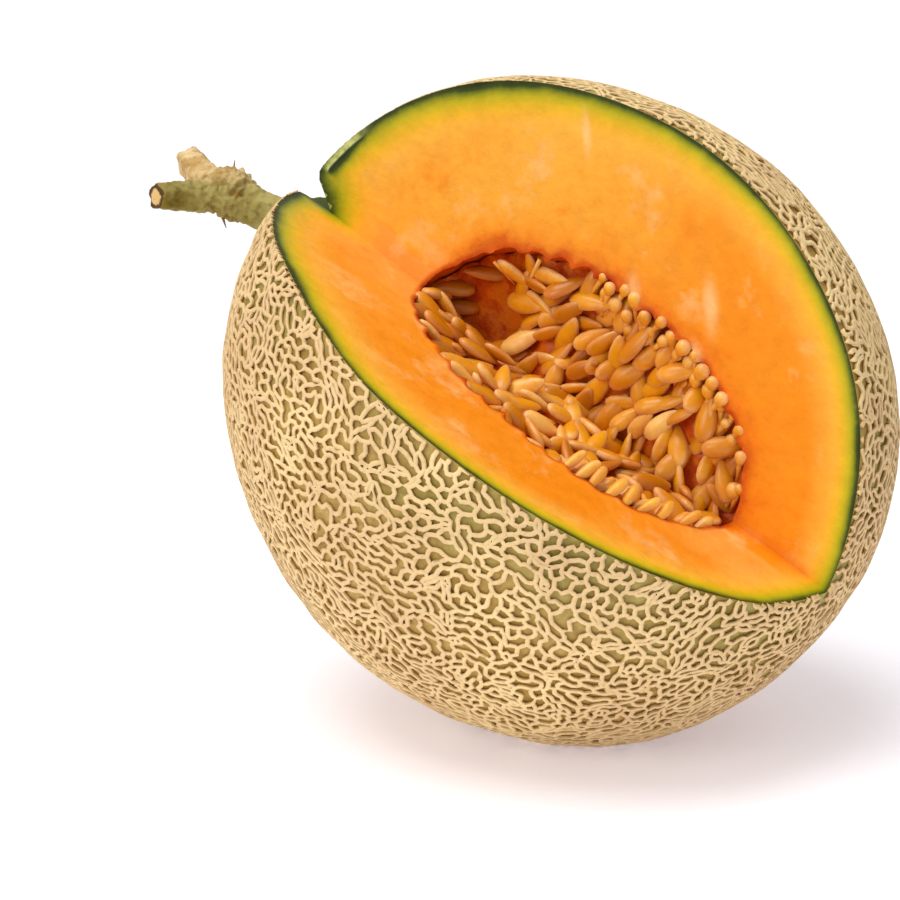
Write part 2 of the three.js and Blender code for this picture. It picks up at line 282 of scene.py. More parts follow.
def cut_below(bm, height):
    """Cuts away what lies below a height in the room, and closes the cut."""
    whole = bm.verts[:] + bm.edges[:] + bm.faces[:]
    cut = bmesh.ops.bisect_plane(
        bm, geom=whole, plane_co=TO_FRUIT @ Vector((0, 0, height)), plane_no=DOWN, clear_outer=True, dist=1e-5
    )
    rim = [edge for edge in cut["geom_cut"] if isinstance(edge, bmesh.types.BMEdge) and edge.is_boundary]
    bmesh.ops.holes_fill(bm, edges=rim, sides=0)


# %% [markdown]
# A short way to write materials
#
# A material is a tree of nodes. Writing each node and link in full hides what the material does,
# so a small class adds a node, sets or links its inputs and hands back its output. Colours are
# written as a screen shows them and turned into the linear values that the shaders need.

# %% Colours
def linear(red, green, blue):
    """A colour as a screen shows it, from 0 to 255, as the linear colour that shaders use."""
    values = []
    for value in (red, green, blue):
        part = value / 255
        values.append(part / 12.92 if part <= 0.04045 else ((part + 0.055) / 1.055) ** 2.4)
    return (*values, 1.0)


print("dark rind as a shader sees it:", [round(part, 3) for part in linear(36, 48, 6)])


# %% A class for nodes
class Nodes:
    """A short way to add nodes to a tree and join them up."""

    def __init__(self, tree):
        self.tree = tree

    def feed(self, value, socket):
        """Links another node's output to an input, or sets the input to a plain value."""
        if isinstance(value, bpy.types.NodeSocket):
            self.tree.links.new(value, socket)
        else:
            socket.default_value = value

    def add(self, kind, inputs=None, **settings):
        """A new node with its settings made and its inputs fed."""
        node = self.tree.nodes.new(kind)
        for key, value in settings.items():
            setattr(node, key, value)
        for key, value in (inputs or {}).items():
            self.feed(value, node.inputs[key])
        return node

    def attribute(self, name):
        """A value that the mesh carries on its vertices."""
        return self.add("ShaderNodeAttribute", attribute_name=name).outputs["Fac"]

    def ramp(self, value, stops):
        """A colour looked up by a value from 0 to 1."""
        node = self.add("ShaderNodeValToRGB", {"Fac": value})
        elements = node.color_ramp.elements
        while len(elements) < len(stops):
            elements.new(1.0)
        for element, (place, colour) in zip(elements, stops):
            element.position = place
            element.color = colour
        return node.outputs["Color"]

    def math(self, operation, *values):
        """One step of arithmetic on values or on other nodes' outputs."""
        node = self.add("ShaderNodeMath", dict(enumerate(values)), operation=operation)
        return node.outputs[0]

    def spread(self, value, low, high, to_low=0.0, to_high=1.0):
        """A value between two limits, moved to lie between two others and held there."""
        limits = {"From Min": low, "From Max": high, "To Min": to_low, "To Max": to_high}
        return self.add("ShaderNodeMapRange", {"Value": value, **limits}).outputs[0]

    def mix(self, part, first, second, blend="MIX"):
        """The first colour at 0, the second at 1 and a mix between."""
        node = self.add("ShaderNodeMix", {0: part, 6: first, 7: second}, data_type="RGBA", blend_type=blend)
        return node.outputs[2]

    def noise(self, vector, scale, detail=3.0, roughness=0.55):
        """A smooth random value that changes over about 1 / scale metres."""
        inputs = {"Vector": vector, "Scale": scale, "Detail": detail, "Roughness": roughness}
        return self.add("ShaderNodeTexNoise", inputs).outputs[0]

    def group(self, tree, **inputs):
        """A node group in use, with its inputs fed by name."""
        return self.add("ShaderNodeGroup", inputs, node_tree=tree).outputs


# %% New groups and new materials
def new_group(name, inputs, outputs):
    """An empty node group with its sockets, which are given as names and kinds."""
    tree = bpy.data.node_groups.new(name, "ShaderNodeTree")
    print("node group", name)
    for way, sockets in (("INPUT", inputs), ("OUTPUT", outputs)):
        for label, kind in sockets.items():
            tree.interface.new_socket(label, in_out=way, socket_type="NodeSocket" + kind)
    nodes = Nodes(tree)
    return tree, nodes, nodes.add("NodeGroupInput").outputs, nodes.add("NodeGroupOutput").inputs


def new_material(name, **constants):
    """A Principled material with its constant values set on the shader's own sockets."""
    material = bpy.data.materials.new(name)
    print("material", name)
    material.use_nodes = True
    shader = material.node_tree.nodes["Principled BSDF"]
    for key, value in constants.items():
        shader.inputs[key.replace("_", " ")].default_value = value
    nodes = Nodes(material.node_tree)
    return material, nodes, shader.inputs, nodes.add("ShaderNodeTexCoord").outputs["Object"]


# %% [markdown]
# Two effects that every surface shares
#
# Everything on a fruit has a fine grain that catches the light, and colours that drift from one
# tone to another over some distance. The same few nodes could stand in each material, but then one
# correction would have to be made six times. Each effect is one node group instead, and a material
# states only how coarse and how strong it is.

# %% Shared effects
def grain_group():
    """A fine unevenness: its value, to shake a colour or roughness with, and its normal."""
    inputs = {"Place": "Vector", "Scale": "Float", "Strength": "Float", "Distance": "Float"}
    tree, nodes, given, result = new_group("fine_grain", inputs, {"Grain": "Float", "Normal": "Vector"})
    fine = nodes.noise(given["Place"], given["Scale"], detail=4.0)
    reliefs = {"Height": fine, "Strength": given["Strength"], "Distance": given["Distance"]}
    nodes.feed(nodes.spread(fine, 0.3, 0.7), result["Grain"])
    nodes.feed(nodes.add("ShaderNodeBump", reliefs).outputs[0], result["Normal"])
    return tree


def drift_group():
    """A slow change between two colours, sharper as its width goes to nothing."""
    inputs = {"Place": "Vector", "Scale": "Float", "Width": "Float", "First": "Color", "Second": "Color"}
    tree, nodes, given, result = new_group("colour_drift", inputs, {"Color": "Color"})
    broad = nodes.noise(given["Place"], given["Scale"], detail=4.0, roughness=0.6)
    low = nodes.math("SUBTRACT", 0.5, given["Width"])
    high = nodes.math("ADD", 0.5, given["Width"])
    nodes.feed(nodes.mix(nodes.spread(broad, low, high), given["First"], given["Second"]), result["Color"])
    return tree


GRAIN = grain_group()
DRIFT = drift_group()


def drift(nodes, place, scale, first, second, width=0.14):
    """One colour that drifts into another over a distance of about 1 / scale metres."""
    return nodes.group(DRIFT, Place=place, Scale=scale, Width=width, First=first, Second=second)["Color"]


def grain(nodes, place, scale, strength, distance):
    """The fine grain's value and normal."""
    return nodes.group(GRAIN, Place=place, Scale=scale, Strength=strength, Distance=distance)


# %% [markdown]
# The bands under the skin
#
# Under the skin a cut melon goes from a dark green line through yellow-green and yellow to
# orange. The bands could be strips of faces with a material each, but they melt into one another.
# Each vertex of the body carries its depth under the skin instead, so one colour ramp gives all
# the bands, and a little noise on the depth keeps their edges from looking printed.

# %% Rind bands
RIND_REACH = 12.0


def rind_bands(nodes, band, broad):
    """The colours from the skin inwards, by a depth in millimetres that a noise shakes."""
    shaken = nodes.math("ADD", band, nodes.spread(broad, 0.3, 0.7, -0.5, 0.5))
    return nodes.ramp(nodes.spread(shaken, 0.0, RIND_REACH), [
        (0.00, linear(36, 48, 6)),
        (0.06, linear(58, 70, 8)),
        (0.10, linear(108, 118, 12)),
        (0.15, linear(156, 152, 12)),
        (0.22, linear(192, 176, 16)),
        (0.32, linear(222, 182, 24)),
        (0.44, linear(240, 182, 38)),
        (0.60, linear(250, 184, 58)),
        (1.00, linear(251, 180, 64)),
    ])


print("the bands end", RIND_REACH, "mm under the skin")

# %% [markdown]
# The flesh's colour, with painted shade and a painted highlight
#
# The back face is paler towards the stem and deeper towards the far end, which is painted shade.
# The front face is a deeper orange with a paler strip along the crease, a painted highlight. A
# painted picture could show all this, but it would have to fit the mesh. So each tone is chosen by
# a value on the mesh, and both faces are mottled by one broad noise: deeper in colour where it is
# low, and paler where it is high.

# %% Core colour
def core_colour(nodes, place, broad):
    """The orange of both faces, mottled by a broad noise, with painted shade and a painted highlight."""
    # Painted shade: the back face deepens towards the far end.
    back_with_painted_shade = nodes.mix(nodes.attribute("end"), linear(251, 176, 54), linear(246, 146, 12))
    towards_front = drift(nodes, place, 34.0, linear(246, 142, 12), linear(250, 156, 42))
    # Painted highlight: a paler strip on the front face along the crease.
    painted_highlight_strip = nodes.math("MULTIPLY", nodes.attribute("inner"), 0.6)
    towards_front = nodes.mix(painted_highlight_strip, towards_front, linear(253, 172, 78))
    core = nodes.mix(nodes.attribute("back"), towards_front, back_with_painted_shade)
    deep = nodes.mix(0.55, core, linear(246, 138, 8))
    pale = nodes.mix(0.6, core, linear(254, 196, 124))
    core = nodes.mix(nodes.spread(broad, 0.46, 0.34), core, deep)
    return nodes.mix(nodes.spread(broad, 0.54, 0.66), core, pale)


# %% [markdown]
# Redder flesh round the seeds
#
# The flesh is deepest in colour beside the cavity, in uneven blotches, and the cavity's wall is a
# wet red-brown. A halo round a point would be easy, but the cavity is long. So the distance from
# its wall is one more value that each vertex carries, and a noise shakes it into blotches.

# %% Reddened flesh and the cavity's wall
def reddened(nodes, place, broad, colour):
    """A colour made redder by how near the cavity is, and red-brown on its wall."""
    hollow = nodes.attribute("hollow")
    blotched = nodes.math("ADD", hollow, nodes.spread(broad, 0.3, 0.7, -3.5, 3.5))
    near = nodes.ramp(nodes.spread(blotched, 0.0, 16.0), [
        (0.00, linear(208, 82, 2)),
        (0.12, linear(236, 116, 4)),
        (0.30, linear(248, 142, 12)),
        (1.00, linear(251, 164, 40)),
    ])
    strength = nodes.math("MULTIPLY", nodes.attribute("back"), nodes.spread(blotched, 12.0, 0.0, 0.0, 0.8))
    colour = nodes.mix(strength, colour, near)
    wall = drift(nodes, place, 130.0, linear(180, 52, 2), linear(224, 100, 8))
    return nodes.mix(nodes.spread(hollow, 1.4, 0.3), colour, wall)


# %% [markdown]
# Marks of the knife, and painted shade in the crease
#
# A real cut has marks: dry pale streaks on the back face, and a sliver of skin left standing at
# the shoulder. Along the crease where the two cuts met, a darker line is painted shade, wider on the
# back face. They are too shallow to be worth modelling, so each is a colour with its own mask, whose
# soft edge is set in the material.

# %% Crease, streaks and sliver
def knife_marks(nodes, place, broad, band, colour):
    """A colour with the crease's painted shade, the streaks and the sliver of skin laid over it."""
    # Painted shade: a darker line along the crease, wider on the back face.
    crease = nodes.math("MULTIPLY", nodes.attribute("crease"), nodes.spread(band, 2.5, 8.0, 0.0, 0.6))
    colour = nodes.mix(crease, colour, linear(224, 112, 6))
    scar = nodes.math("MULTIPLY", nodes.attribute("scar"), nodes.spread(broad, 0.36, 0.52, 0.45, 1.0))
    colour = nodes.mix(scar, colour, linear(253, 200, 128))
    depth = nodes.attribute("depth")
    sliver = nodes.math("MULTIPLY", nodes.spread(depth, 1.9, 1.5), nodes.spread(depth, 0.15, 0.35))
    sliver = nodes.math("MULTIPLY", nodes.attribute("flap"), sliver)
    return nodes.mix(sliver, colour, drift(nodes, place, 300.0, linear(140, 150, 50), linear(222, 228, 150)))


# %% [markdown]
# The cut flesh's material
#
# The bands, the core, the red and the marks are laid over each other, and fine freckles finish
# the colour. The cut is moist. An even gloss would look like wax, so it has a satin surface, a
# thin clear coat only in patches, and a very fine grain. A little light passes under the surface,
# which is what makes fruit look like fruit.

# %% Flesh material
def flesh_material():
    material, nodes, sockets, place = new_material(
        "cut_flesh", Subsurface_Weight=0.1, Subsurface_Radius=(1.0, 0.45, 0.15), Subsurface_Scale=0.003,
        Coat_Roughness=0.25, Specular_IOR_Level=0.22,
    )
    band = nodes.attribute("band")
    broad = nodes.noise(place, 60.0, detail=5.0, roughness=0.65)
    speck = nodes.noise(place, 260.0, detail=4.0)
    colour = nodes.mix(
        nodes.spread(band, 5.0, 14.0), rind_bands(nodes, band, broad), core_colour(nodes, place, broad)
    )
    colour = knife_marks(nodes, place, broad, band, reddened(nodes, place, broad, colour))
    freckles = nodes.spread(speck, 0.35, 0.65, 0.94, 1.05)
    grey = nodes.add("ShaderNodeCombineColor", {0: freckles, 1: freckles, 2: freckles}).outputs[0]
    nodes.feed(nodes.mix(1.0, colour, grey, "MULTIPLY"), sockets["Base Color"])
    nodes.feed(nodes.spread(speck, 0.3, 0.7, 0.4, 0.56), sockets["Roughness"])
    nodes.feed(nodes.spread(broad, 0.4, 0.7, 0.0, 0.14), sockets["Coat Weight"])
    nodes.feed(grain(nodes, place, 420.0, 0.4, 0.0006)["Normal"], sockets["Normal"])
    return material


FLESH = flesh_material()
print("flesh nodes", len(FLESH.node_tree.nodes))

# %% [markdown]
# The skin's material
#
# Between the cords the skin is a dull tan. It is greener near the fresh cut, and bare and green in
# the pit round the stem, where its darker olive tones are painted shade. It could be one tone with
# the net painted on, but a painted net has no edge against the light. So the skin is its own
# material, and two masks on the mesh choose its tones.

# %% Skin material
def skin_material():
    material, nodes, sockets, place = new_material("skin", Specular_IOR_Level=0.25)
    relief = grain(nodes, place, 420.0, 0.3, 0.0004)
    tan = drift(nodes, place, 30.0, linear(178, 142, 70), linear(202, 168, 98))
    green = drift(nodes, place, 160.0, linear(152, 142, 66), linear(180, 172, 100))
    patches = nodes.spread(nodes.noise(place, 24.0, detail=4.0), 0.42, 0.58, 0.15, 0.9)
    colour = nodes.mix(nodes.math("MULTIPLY", patches, nodes.attribute("fresh")), tan, green)
    colour = nodes.mix(nodes.spread(relief["Grain"], 0.3, 0.9, 0.0, 0.45), colour, linear(134, 102, 48))
    # The pit's bare skin is green, darkened in part to dark olive as painted shade.
    pit_skin_and_shade = drift(nodes, place, 90.0, linear(92, 106, 34), linear(170, 178, 92))
    nodes.feed(nodes.mix(nodes.attribute("pit_skin_and_shade"), colour, pit_skin_and_shade), sockets["Base Color"])
    nodes.feed(nodes.spread(relief["Grain"], 0.0, 1.0, 0.55, 0.75), sockets["Roughness"])
    nodes.feed(relief["Normal"], sockets["Normal"])
    return material


SKIN = skin_material()
print("skin nodes", len(SKIN.node_tree.nodes))

# %% [markdown]
# The net's material
#
# The net is dry cork, cream on its crests, so it has hardly any gloss. Its feet are painted browner,
# as painted shade where the cords meet the skin. The shader could find that shade from the mesh's
# shape, but that is slow and the export can't read it. A value on the mesh tells crest from foot
# instead.

# %% Net material
def net_material():
    material, nodes, sockets, place = new_material("net_cork", Specular_IOR_Level=0.2)
    relief = grain(nodes, place, 700.0, 0.3, 0.0003)
    crest = drift(nodes, place, 26.0, linear(246, 216, 156), linear(226, 190, 138))
    foot = drift(nodes, place, 60.0, linear(194, 156, 90), linear(208, 178, 110))
    # Painted shade: the feet of the cords are browner than their crests.
    colour = nodes.mix(nodes.attribute("lift"), foot, crest)
    colour = nodes.mix(nodes.spread(relief["Grain"], 0.4, 1.0, 0.0, 0.4), colour, linear(196, 162, 108))
    nodes.feed(colour, sockets["Base Color"])
    nodes.feed(nodes.spread(relief["Grain"], 0.0, 1.0, 0.65, 0.85), sockets["Roughness"])
    nodes.feed(relief["Normal"], sockets["Normal"])
    return material


NET = net_material()
print("net nodes", len(NET.node_tree.nodes))

# %% [markdown]
# The seeds' material
#
# Fresh seeds are golden under a wet film, with a paler margin, and no two have the same tone. A
# random value by object would need an object for each seed. Here all seeds are one mesh, and each
# carries one tint of its own and a value that rises towards its margin. A thin clear coat gives
# the wet shine.

# %% Seed material
def seed_material():
    material, nodes, sockets, place = new_material(
        "seed", Subsurface_Weight=0.08, Subsurface_Radius=(1.0, 0.5, 0.2), Subsurface_Scale=0.002,
        Coat_Roughness=0.16, Coat_Weight=0.25, Specular_IOR_Level=0.35,
    )
    tint, edge = nodes.attribute("tint"), nodes.attribute("edge")
    relief = grain(nodes, place, 500.0, 0.2, 0.0004)
    middle = nodes.ramp(tint, [
        (0.00, linear(170, 92, 4)),
        (0.35, linear(216, 138, 8)),
        (0.65, linear(240, 164, 18)),
        (0.85, linear(252, 184, 64)),
        (1.00, linear(254, 202, 112)),
    ])
    margin = nodes.mix(tint, linear(214, 128, 40), linear(255, 204, 132))
    colour = nodes.mix(nodes.spread(edge, 0.74, 1.0), middle, margin)
    streaked = drift(nodes, place, 170.0, colour, linear(206, 108, 6), width=0.1)
    colour = nodes.mix(0.4, colour, streaked)
    nodes.feed(colour, sockets["Base Color"])
    nodes.feed(nodes.spread(relief["Grain"], 0.0, 1.0, 0.26, 0.44), sockets["Roughness"])
    nodes.feed(relief["Normal"], sockets["Normal"])
    return material


SEED = seed_material()
print("seed nodes", len(SEED.node_tree.nodes))

# %% [markdown]
# The pulp's material
#
# The pulp between the seeds is a wet red-brown with paler threads through it. The threads could be
# thin strands of mesh, but only glimpses of the pulp show, so two scales of drifting colour are
# enough.

# %% Pulp material
def pulp_material():
    material, nodes, sockets, place = new_material(
        "pulp", Coat_Roughness=0.3, Coat_Weight=0.08, Specular_IOR_Level=0.2
    )
    relief = grain(nodes, place, 600.0, 0.5, 0.0008)
    dark = drift(nodes, place, 120.0, linear(176, 48, 0), linear(222, 92, 2))
    threads = drift(nodes, place, 260.0, dark, linear(240, 140, 24), width=0.08)
    nodes.feed(nodes.mix(0.5, dark, threads), sockets["Base Color"])
    nodes.feed(nodes.spread(relief["Grain"], 0.0, 1.0, 0.28, 0.48), sockets["Roughness"])
    nodes.feed(relief["Normal"], sockets["Normal"])
    return material


PULP = pulp_material()
print("pulp nodes", len(PULP.node_tree.nodes))

# %% [markdown]
# The stem's material
#
# The stem is dry and olive where the skin still lives, and cream-tan where the bark has died, and
# the top of the knot is painted paler as a painted highlight. The cut ends show a pale middle inside
# a dark ring, and low down in the pit the stem is painted dark green as painted shade. Each part
# could have a material of its own, but a plant has no such seams. So one material goes from tone to
# tone by the values on the mesh.

# %% Stem material
def stem_material():
    material, nodes, sockets, place = new_material("stem", Specular_IOR_Level=0.25)
    relief = grain(nodes, place, 500.0, 0.5, 0.0006)
    pale, scar, end = nodes.attribute("pale"), nodes.attribute("scar"), nodes.attribute("end")
    green = drift(nodes, place, 120.0, linear(128, 112, 34), linear(170, 156, 90))
    dry = drift(nodes, place, 200.0, linear(186, 146, 84), linear(226, 198, 144))
    # pale is the dead bark, and on the top of the knot a painted highlight.
    colour = nodes.mix(pale, green, dry)
    colour = nodes.mix(nodes.spread(relief["Grain"], 0.55, 1.0, 0.0, 0.6), colour, linear(98, 78, 28))
    colour = nodes.mix(scar, colour, linear(140, 82, 24))
    # Painted shade: dark green low on the stem, down in the pit.
    colour = nodes.mix(nodes.attribute("shaded"), colour, linear(62, 72, 14))
    ends = nodes.ramp(end, [
        (0.0, linear(92, 74, 26)),
        (0.5, linear(84, 56, 20)),
        (1.0, linear(222, 182, 116)),
    ])
    colour = nodes.mix(nodes.spread(end, 0.0, 0.4), colour, ends)
    nodes.feed(colour, sockets["Base Color"])
    nodes.feed(nodes.spread(relief["Grain"], 0.0, 1.0, 0.6, 0.8), sockets["Roughness"])
    nodes.feed(relief["Normal"], sockets["Normal"])
    return material


STEM = stem_material()
print("stem nodes", len(STEM.node_tree.nodes))

# %% [markdown]
# The missing wedge as a solid
#
# A plain prism could stand for the wedge, but a knife never leaves a plane. So the two cut faces
# are one flat grid, folded along its middle line and rippled a little. Extruding it out of the
# fruit closes it, and what lies in front of the faces can then be taken away in one cut. The same
# solid, sunk deeper and torn out in one hollow, later shapes the pulp.

# %% The wedge
WEDGE_REACH, WEDGE_PUSH = 100.0, 110.0
HOLLOW_REACH, HOLLOW_ALONG = 10, 28
HOLLOW_WIDTH, HOLLOW_LENGTH, HOLLOW_DEPTH = 12, 13, 12


def hollow_distance(reach, along):
    """How far a place of the back face is from the torn hollow's middle, which ends at 1."""
    return math.hypot((reach - HOLLOW_REACH) / HOLLOW_WIDTH, (along - HOLLOW_ALONG) / HOLLOW_LENGTH)


def wedge_solid(name, under=0.0, wave=0.2, cell=1.3, torn=False):
    """The missing wedge: a folded grid for its two faces, pushed out of the fruit to close it."""
    columns, rows = 2 * int(WEDGE_REACH / cell), int(2 * WEDGE_REACH / cell)
    bm = bmesh.new()
    bmesh.ops.create_grid(bm, x_segments=columns, y_segments=rows, size=1.0)
    for vert in bm.verts:
        across, along = vert.co.x * WEDGE_REACH, vert.co.y * WEDGE_REACH
        place = face_point("front" if across < 0 else "back", abs(across), along)
        ripple = wave * noise.noise(place * 0.045) + wave * 0.25 * noise.noise(place * 0.22)
        deeper = under + ripple
        if torn:
            deeper += HOLLOW_DEPTH * math.exp(-hollow_distance(across, along) ** 4)
            deeper += 1.4 * noise.noise(place * 0.3)
        vert.co = place - WEDGE_OUT * deeper
    wall = bmesh.ops.extrude_face_region(bm, geom=bm.faces[:])
    moved = [item for item in wall["geom"] if isinstance(item, bmesh.types.BMVert)]
    bmesh.ops.translate(bm, verts=moved, vec=WEDGE_OUT * WEDGE_PUSH)
    print(name, "grid of", columns, "by", rows, "cells")
    return solid_object(name, bm)


# %% [markdown]
# The seed cavity as a solid
#
# The cavity is a ball stretched along the fruit and blunter at its far end. A plain ball would
# give the rim of the cut a smooth curve. In a real melon soft ribs run along it, and rows of small
# sockets show where the seeds hung, so both are pressed into the ball and scallop that rim.

# %% The cavity
CAVITY_MIDDLE = Vector((2.5, 1.5, -6))
CAVITY_RADIUS = 37.5
CAVITY_HALF_LENGTH = 49.0
CAVITY_RIBS = 9
CAVITY_BLUNTNESS = {"stem_end": 2.0, "far_end": 3.0}
SOCKET_SPACING = 6.2
SOCKET_DEPTH = 3.4


def cavity_share(part):
    """The cavity's radius at a part of its half length, as a share of its greatest radius."""
    power = CAVITY_BLUNTNESS["stem_end" if part > 0 else "far_end"]
    return math.sqrt(max(0.0, 1 - min(1.0, abs(part)) ** power))


def cavity_mesh(inset=0.0):
    """The seed cavity, with soft ribs along it and rows of sockets where the seeds hung."""
    bm = bmesh.new()
    bmesh.ops.create_icosphere(bm, subdivisions=6, radius=1.0)
    for vert in bm.verts:
        around = math.atan2(vert.co.y, vert.co.x)
        wide = math.hypot(vert.co.x, vert.co.y)
        share = cavity_share(vert.co.z)
        rough = 0.8 * noise.noise(vert.co * 5.5) + 0.5 * noise.noise(vert.co * 13)
        row = abs(math.sin(math.pi * vert.co.z * CAVITY_HALF_LENGTH / SOCKET_SPACING)) ** 0.6
        column = abs(math.cos(CAVITY_RIBS * around)) ** 0.5
        radius = CAVITY_RADIUS - inset + rough + SOCKET_DEPTH * (row * column - 0.4)
        out = radius * share / max(wide, 1e-6)
        length = CAVITY_HALF_LENGTH - inset + rough
        vert.co = CAVITY_MIDDLE + Vector((vert.co.x * out, vert.co.y * out, vert.co.z * length))
    return bm


print("cavity", 2 * CAVITY_RADIUS, "mm across and", 2 * CAVITY_HALF_LENGTH, "mm long")

# %% [markdown]
# The skin
#
# The skin is round about its axis. A ball with even rings would be coarse in the pit, so half an
# outline is spun once round instead, with its points closer together at the stem end.

# %% The skin as a solid
SKIN_RINGS, SKIN_STEPS = 150, 240


def spun_skin():
    """The whole fruit's skin, spun from its outline."""
    bm = bmesh.new()
    profile = []
    for i in range(SKIN_RINGS + 1):
        part = i / SKIN_RINGS
        angle = math.pi * (part - 0.35 * part * (1 - part) ** 2)
        profile.append(bm.verts.new((math.sin(angle) if 0 < i < SKIN_RINGS else 0, 0, math.cos(angle))))
    edges = [bm.edges.new(pair) for pair in zip(profile, profile[1:])]
    bmesh.ops.spin(
        bm, geom=profile + edges, cent=(0, 0, 0), axis=(0, 0, 1), angle=2 * math.pi, steps=SKIN_STEPS,
        use_merge=True,
    )
    bmesh.ops.remove_doubles(bm, verts=bm.verts, dist=0.0001)
    set_places(bm, skin_points(np.array([vert.co.normalized() for vert in bm.verts])))
    print("skin of", len(bm.faces), "faces")
    return solid_object("fruit", bm)


# %% [markdown]
# What each vertex of the body knows
#
# The materials need to know how deep a point lies under the skin, how far it is from the cavity
# and on which cut face it is. Painting that by hand would be slow and uneven, so it is worked out
# and written on the vertices as named values, which the materials read as attributes.

# %% Depths under the skin
def nearest_depth(points, pit):
    """Distances from the skin's outline, with its pit only so deep."""
    line = np.stack(outline(np.linspace(0, math.pi, 901), pit), 1)
    flat = np.stack([np.hypot(points[:, 0], points[:, 1]), points[:, 2]], 1)
    depth = np.empty(len(flat))
    for start in range(0, len(flat), 4000):
        gap = flat[start:start + 4000, None, :] - line[None, :, :]
        depth[start:start + 4000] = np.sqrt((gap**2).sum(2)).min(1)
    return depth


rim_point = np.array([[CAVITY_RADIUS, 0.0, 0.0]])
print("flesh", round(float(nearest_depth(rim_point, PIT_DEPTH)[0]), 1), "mm thick round the cavity's middle")

# %% Streaks on the back face
STREAKS = ((38.6, -21.7, 6.0, 1.7), (27.2, -24.2, 2.6, 2.2), (51.5, 25.5, 4.5, 0.9), (30.0, -4.0, 3.5, 1.6))
STREAK_WAY = math.radians(39)


def streak(reach, along):
    """How strong the pale streaks are at a place of the back face."""
    strongest = 0.0
    for middle_reach, middle_along, length, width in STREAKS:
        right, up = reach - middle_reach, along - middle_along
        with_it = right * math.cos(STREAK_WAY) + up * math.sin(STREAK_WAY)
        beside = up * math.cos(STREAK_WAY) - right * math.sin(STREAK_WAY)
        there = math.hypot(with_it / length, beside / width)
        strongest = max(strongest, 0.85 * math.exp(-(there**3)))
    return strongest


print("streaks", len(STREAKS), "of strength", round(streak(STREAKS[0][0], STREAKS[0][1]), 2))


# %% Painted shade in the crease between the cut faces
def crease_shade_line(place, along, back):
    """How strong the crease's painted shade is at a point of the cut."""
    from_edge = min((place - face_point(side, 0, along)).length for side in ("front", "back"))
    # A thin line of painted shade at the crease, and a wider painted shadow on the back face.
    line = math.exp(-((from_edge / 1.3) ** 2)) + 0.4 * back * math.exp(-from_edge / 4)
    return min(1.0, line) * (1 - smooth_part(along, 28, 52))


print("crease on its line", crease_shade_line(face_point("back", 0, 0), 0, True))

# %% Named values on the body's vertices
SHALLOW_PIT = 0.75


def body_marks(place, depth, band, hollow):
    """The values of one vertex, from its place and its three distances."""
    way = place - WEDGE_EDGE
    along = way.dot(WEDGE_SLOPE)
    back = way.dot(BACK_OUT) > way.dot(FRONT_OUT)
    reach = way.dot(BACK_OUT if back else FRONT_OUT)
    from_axis = math.hypot(place.x, place.y)
    shoulder = smooth_part(place.z, 74, 78) * smooth_part(-from_axis, -32, -22) if back else 0.0
    width = 0.85 + 0.4 * smooth_part(place.z, -20, 50) + 0.25 * smooth_part(place.z, 55, 75)
    return {
        "depth": depth,
        "band": max(0.0, band - 2.0 * shoulder) / width,
        "hollow": hollow,
        # On the flesh this deepens the back face towards the far end, as painted shade.
        "end": smooth_part(-place.z, -30, 30),
        # The bare skin of the pit, green and partly darkened as painted shade.
        "pit_skin_and_shade": smooth_part(-from_axis, -17, -14) * smooth_part(place.z, 40, 50),
        "back": float(back),
        "crease": crease_shade_line(place, along, back),
        "scar": streak(reach, along) if back else 0.0,
        "flap": shoulder,
        "fresh": 0.15 + 0.85 * (1 - smooth_part(-way.dot(FRONT_NORMAL), 6, 30)),
        # A paler strip on the front face along the crease, a painted highlight.
        "inner": 0.0 if back else 1 - smooth_part(reach, 14, 26),
    }


def mark_layers(bm, cavity_tree):
    """Writes the named values on every vertex, and gives their layers."""
    points = np.array([vert.co for vert in bm.verts])
    depths = nearest_depth(points, PIT_DEPTH)
    bands = nearest_depth(points, PIT_DEPTH * SHALLOW_PIT)
    hollows = [cavity_tree.find_nearest(vert.co)[3] for vert in bm.verts]
    places = [vert.co for vert in bm.verts]
    marks = [body_marks(*values) for values in zip(places, depths, bands, hollows)]
    layers = {name: bm.verts.layers.float.new(name) for name in marks[0]}
    for vert, values in zip(bm.verts, marks):
        for name, layer in layers.items():
            vert[layer] = values[name]
    print("values on each vertex of the body:", list(layers))
    return layers


# %% [markdown]
# The body
#
# Flesh and rind could be two nested shells, but they grew as one and no gap should show. So the
# wedge and the cavity are taken away from the skin's solid, which leaves one closed body. Faces
# that look outwards close to the skin get the skin's material, and all others are cut flesh. The
# rim of the cavity is smoothed a little, because it is soft.

# %% The body
RIM_WIDTH = 1.2
PIT_EDGE = 17
SKIN_DEPTH, PIT_SKIN_DEPTH = 3.4, 0.6
OUTWARD_ENOUGH = 0.45
SHARP_ANGLE = math.radians(38)


def choose_materials(bm, depth_layer):
    """Gives each face the first material if it is skin, and the second if it is cut flesh."""
    for face in bm.faces:
        centre = face.calc_center_median()
        way = Vector((centre.x / SKIN_RADIUS**2, centre.y / SKIN_RADIUS**2, centre.z / SKIN_HALF_LENGTH**2))
        in_pit = centre.z > 60 and math.hypot(centre.x, centre.y) < PIT_EDGE
        deepest = max(vert[depth_layer] for vert in face.verts)
        near_skin = deepest < (PIT_SKIN_DEPTH if in_pit else SKIN_DEPTH)
        looks_out = face.normal.dot(way.normalized()) > OUTWARD_ENOUGH
        face.material_index = 0 if near_skin and (looks_out or in_pit) else 1


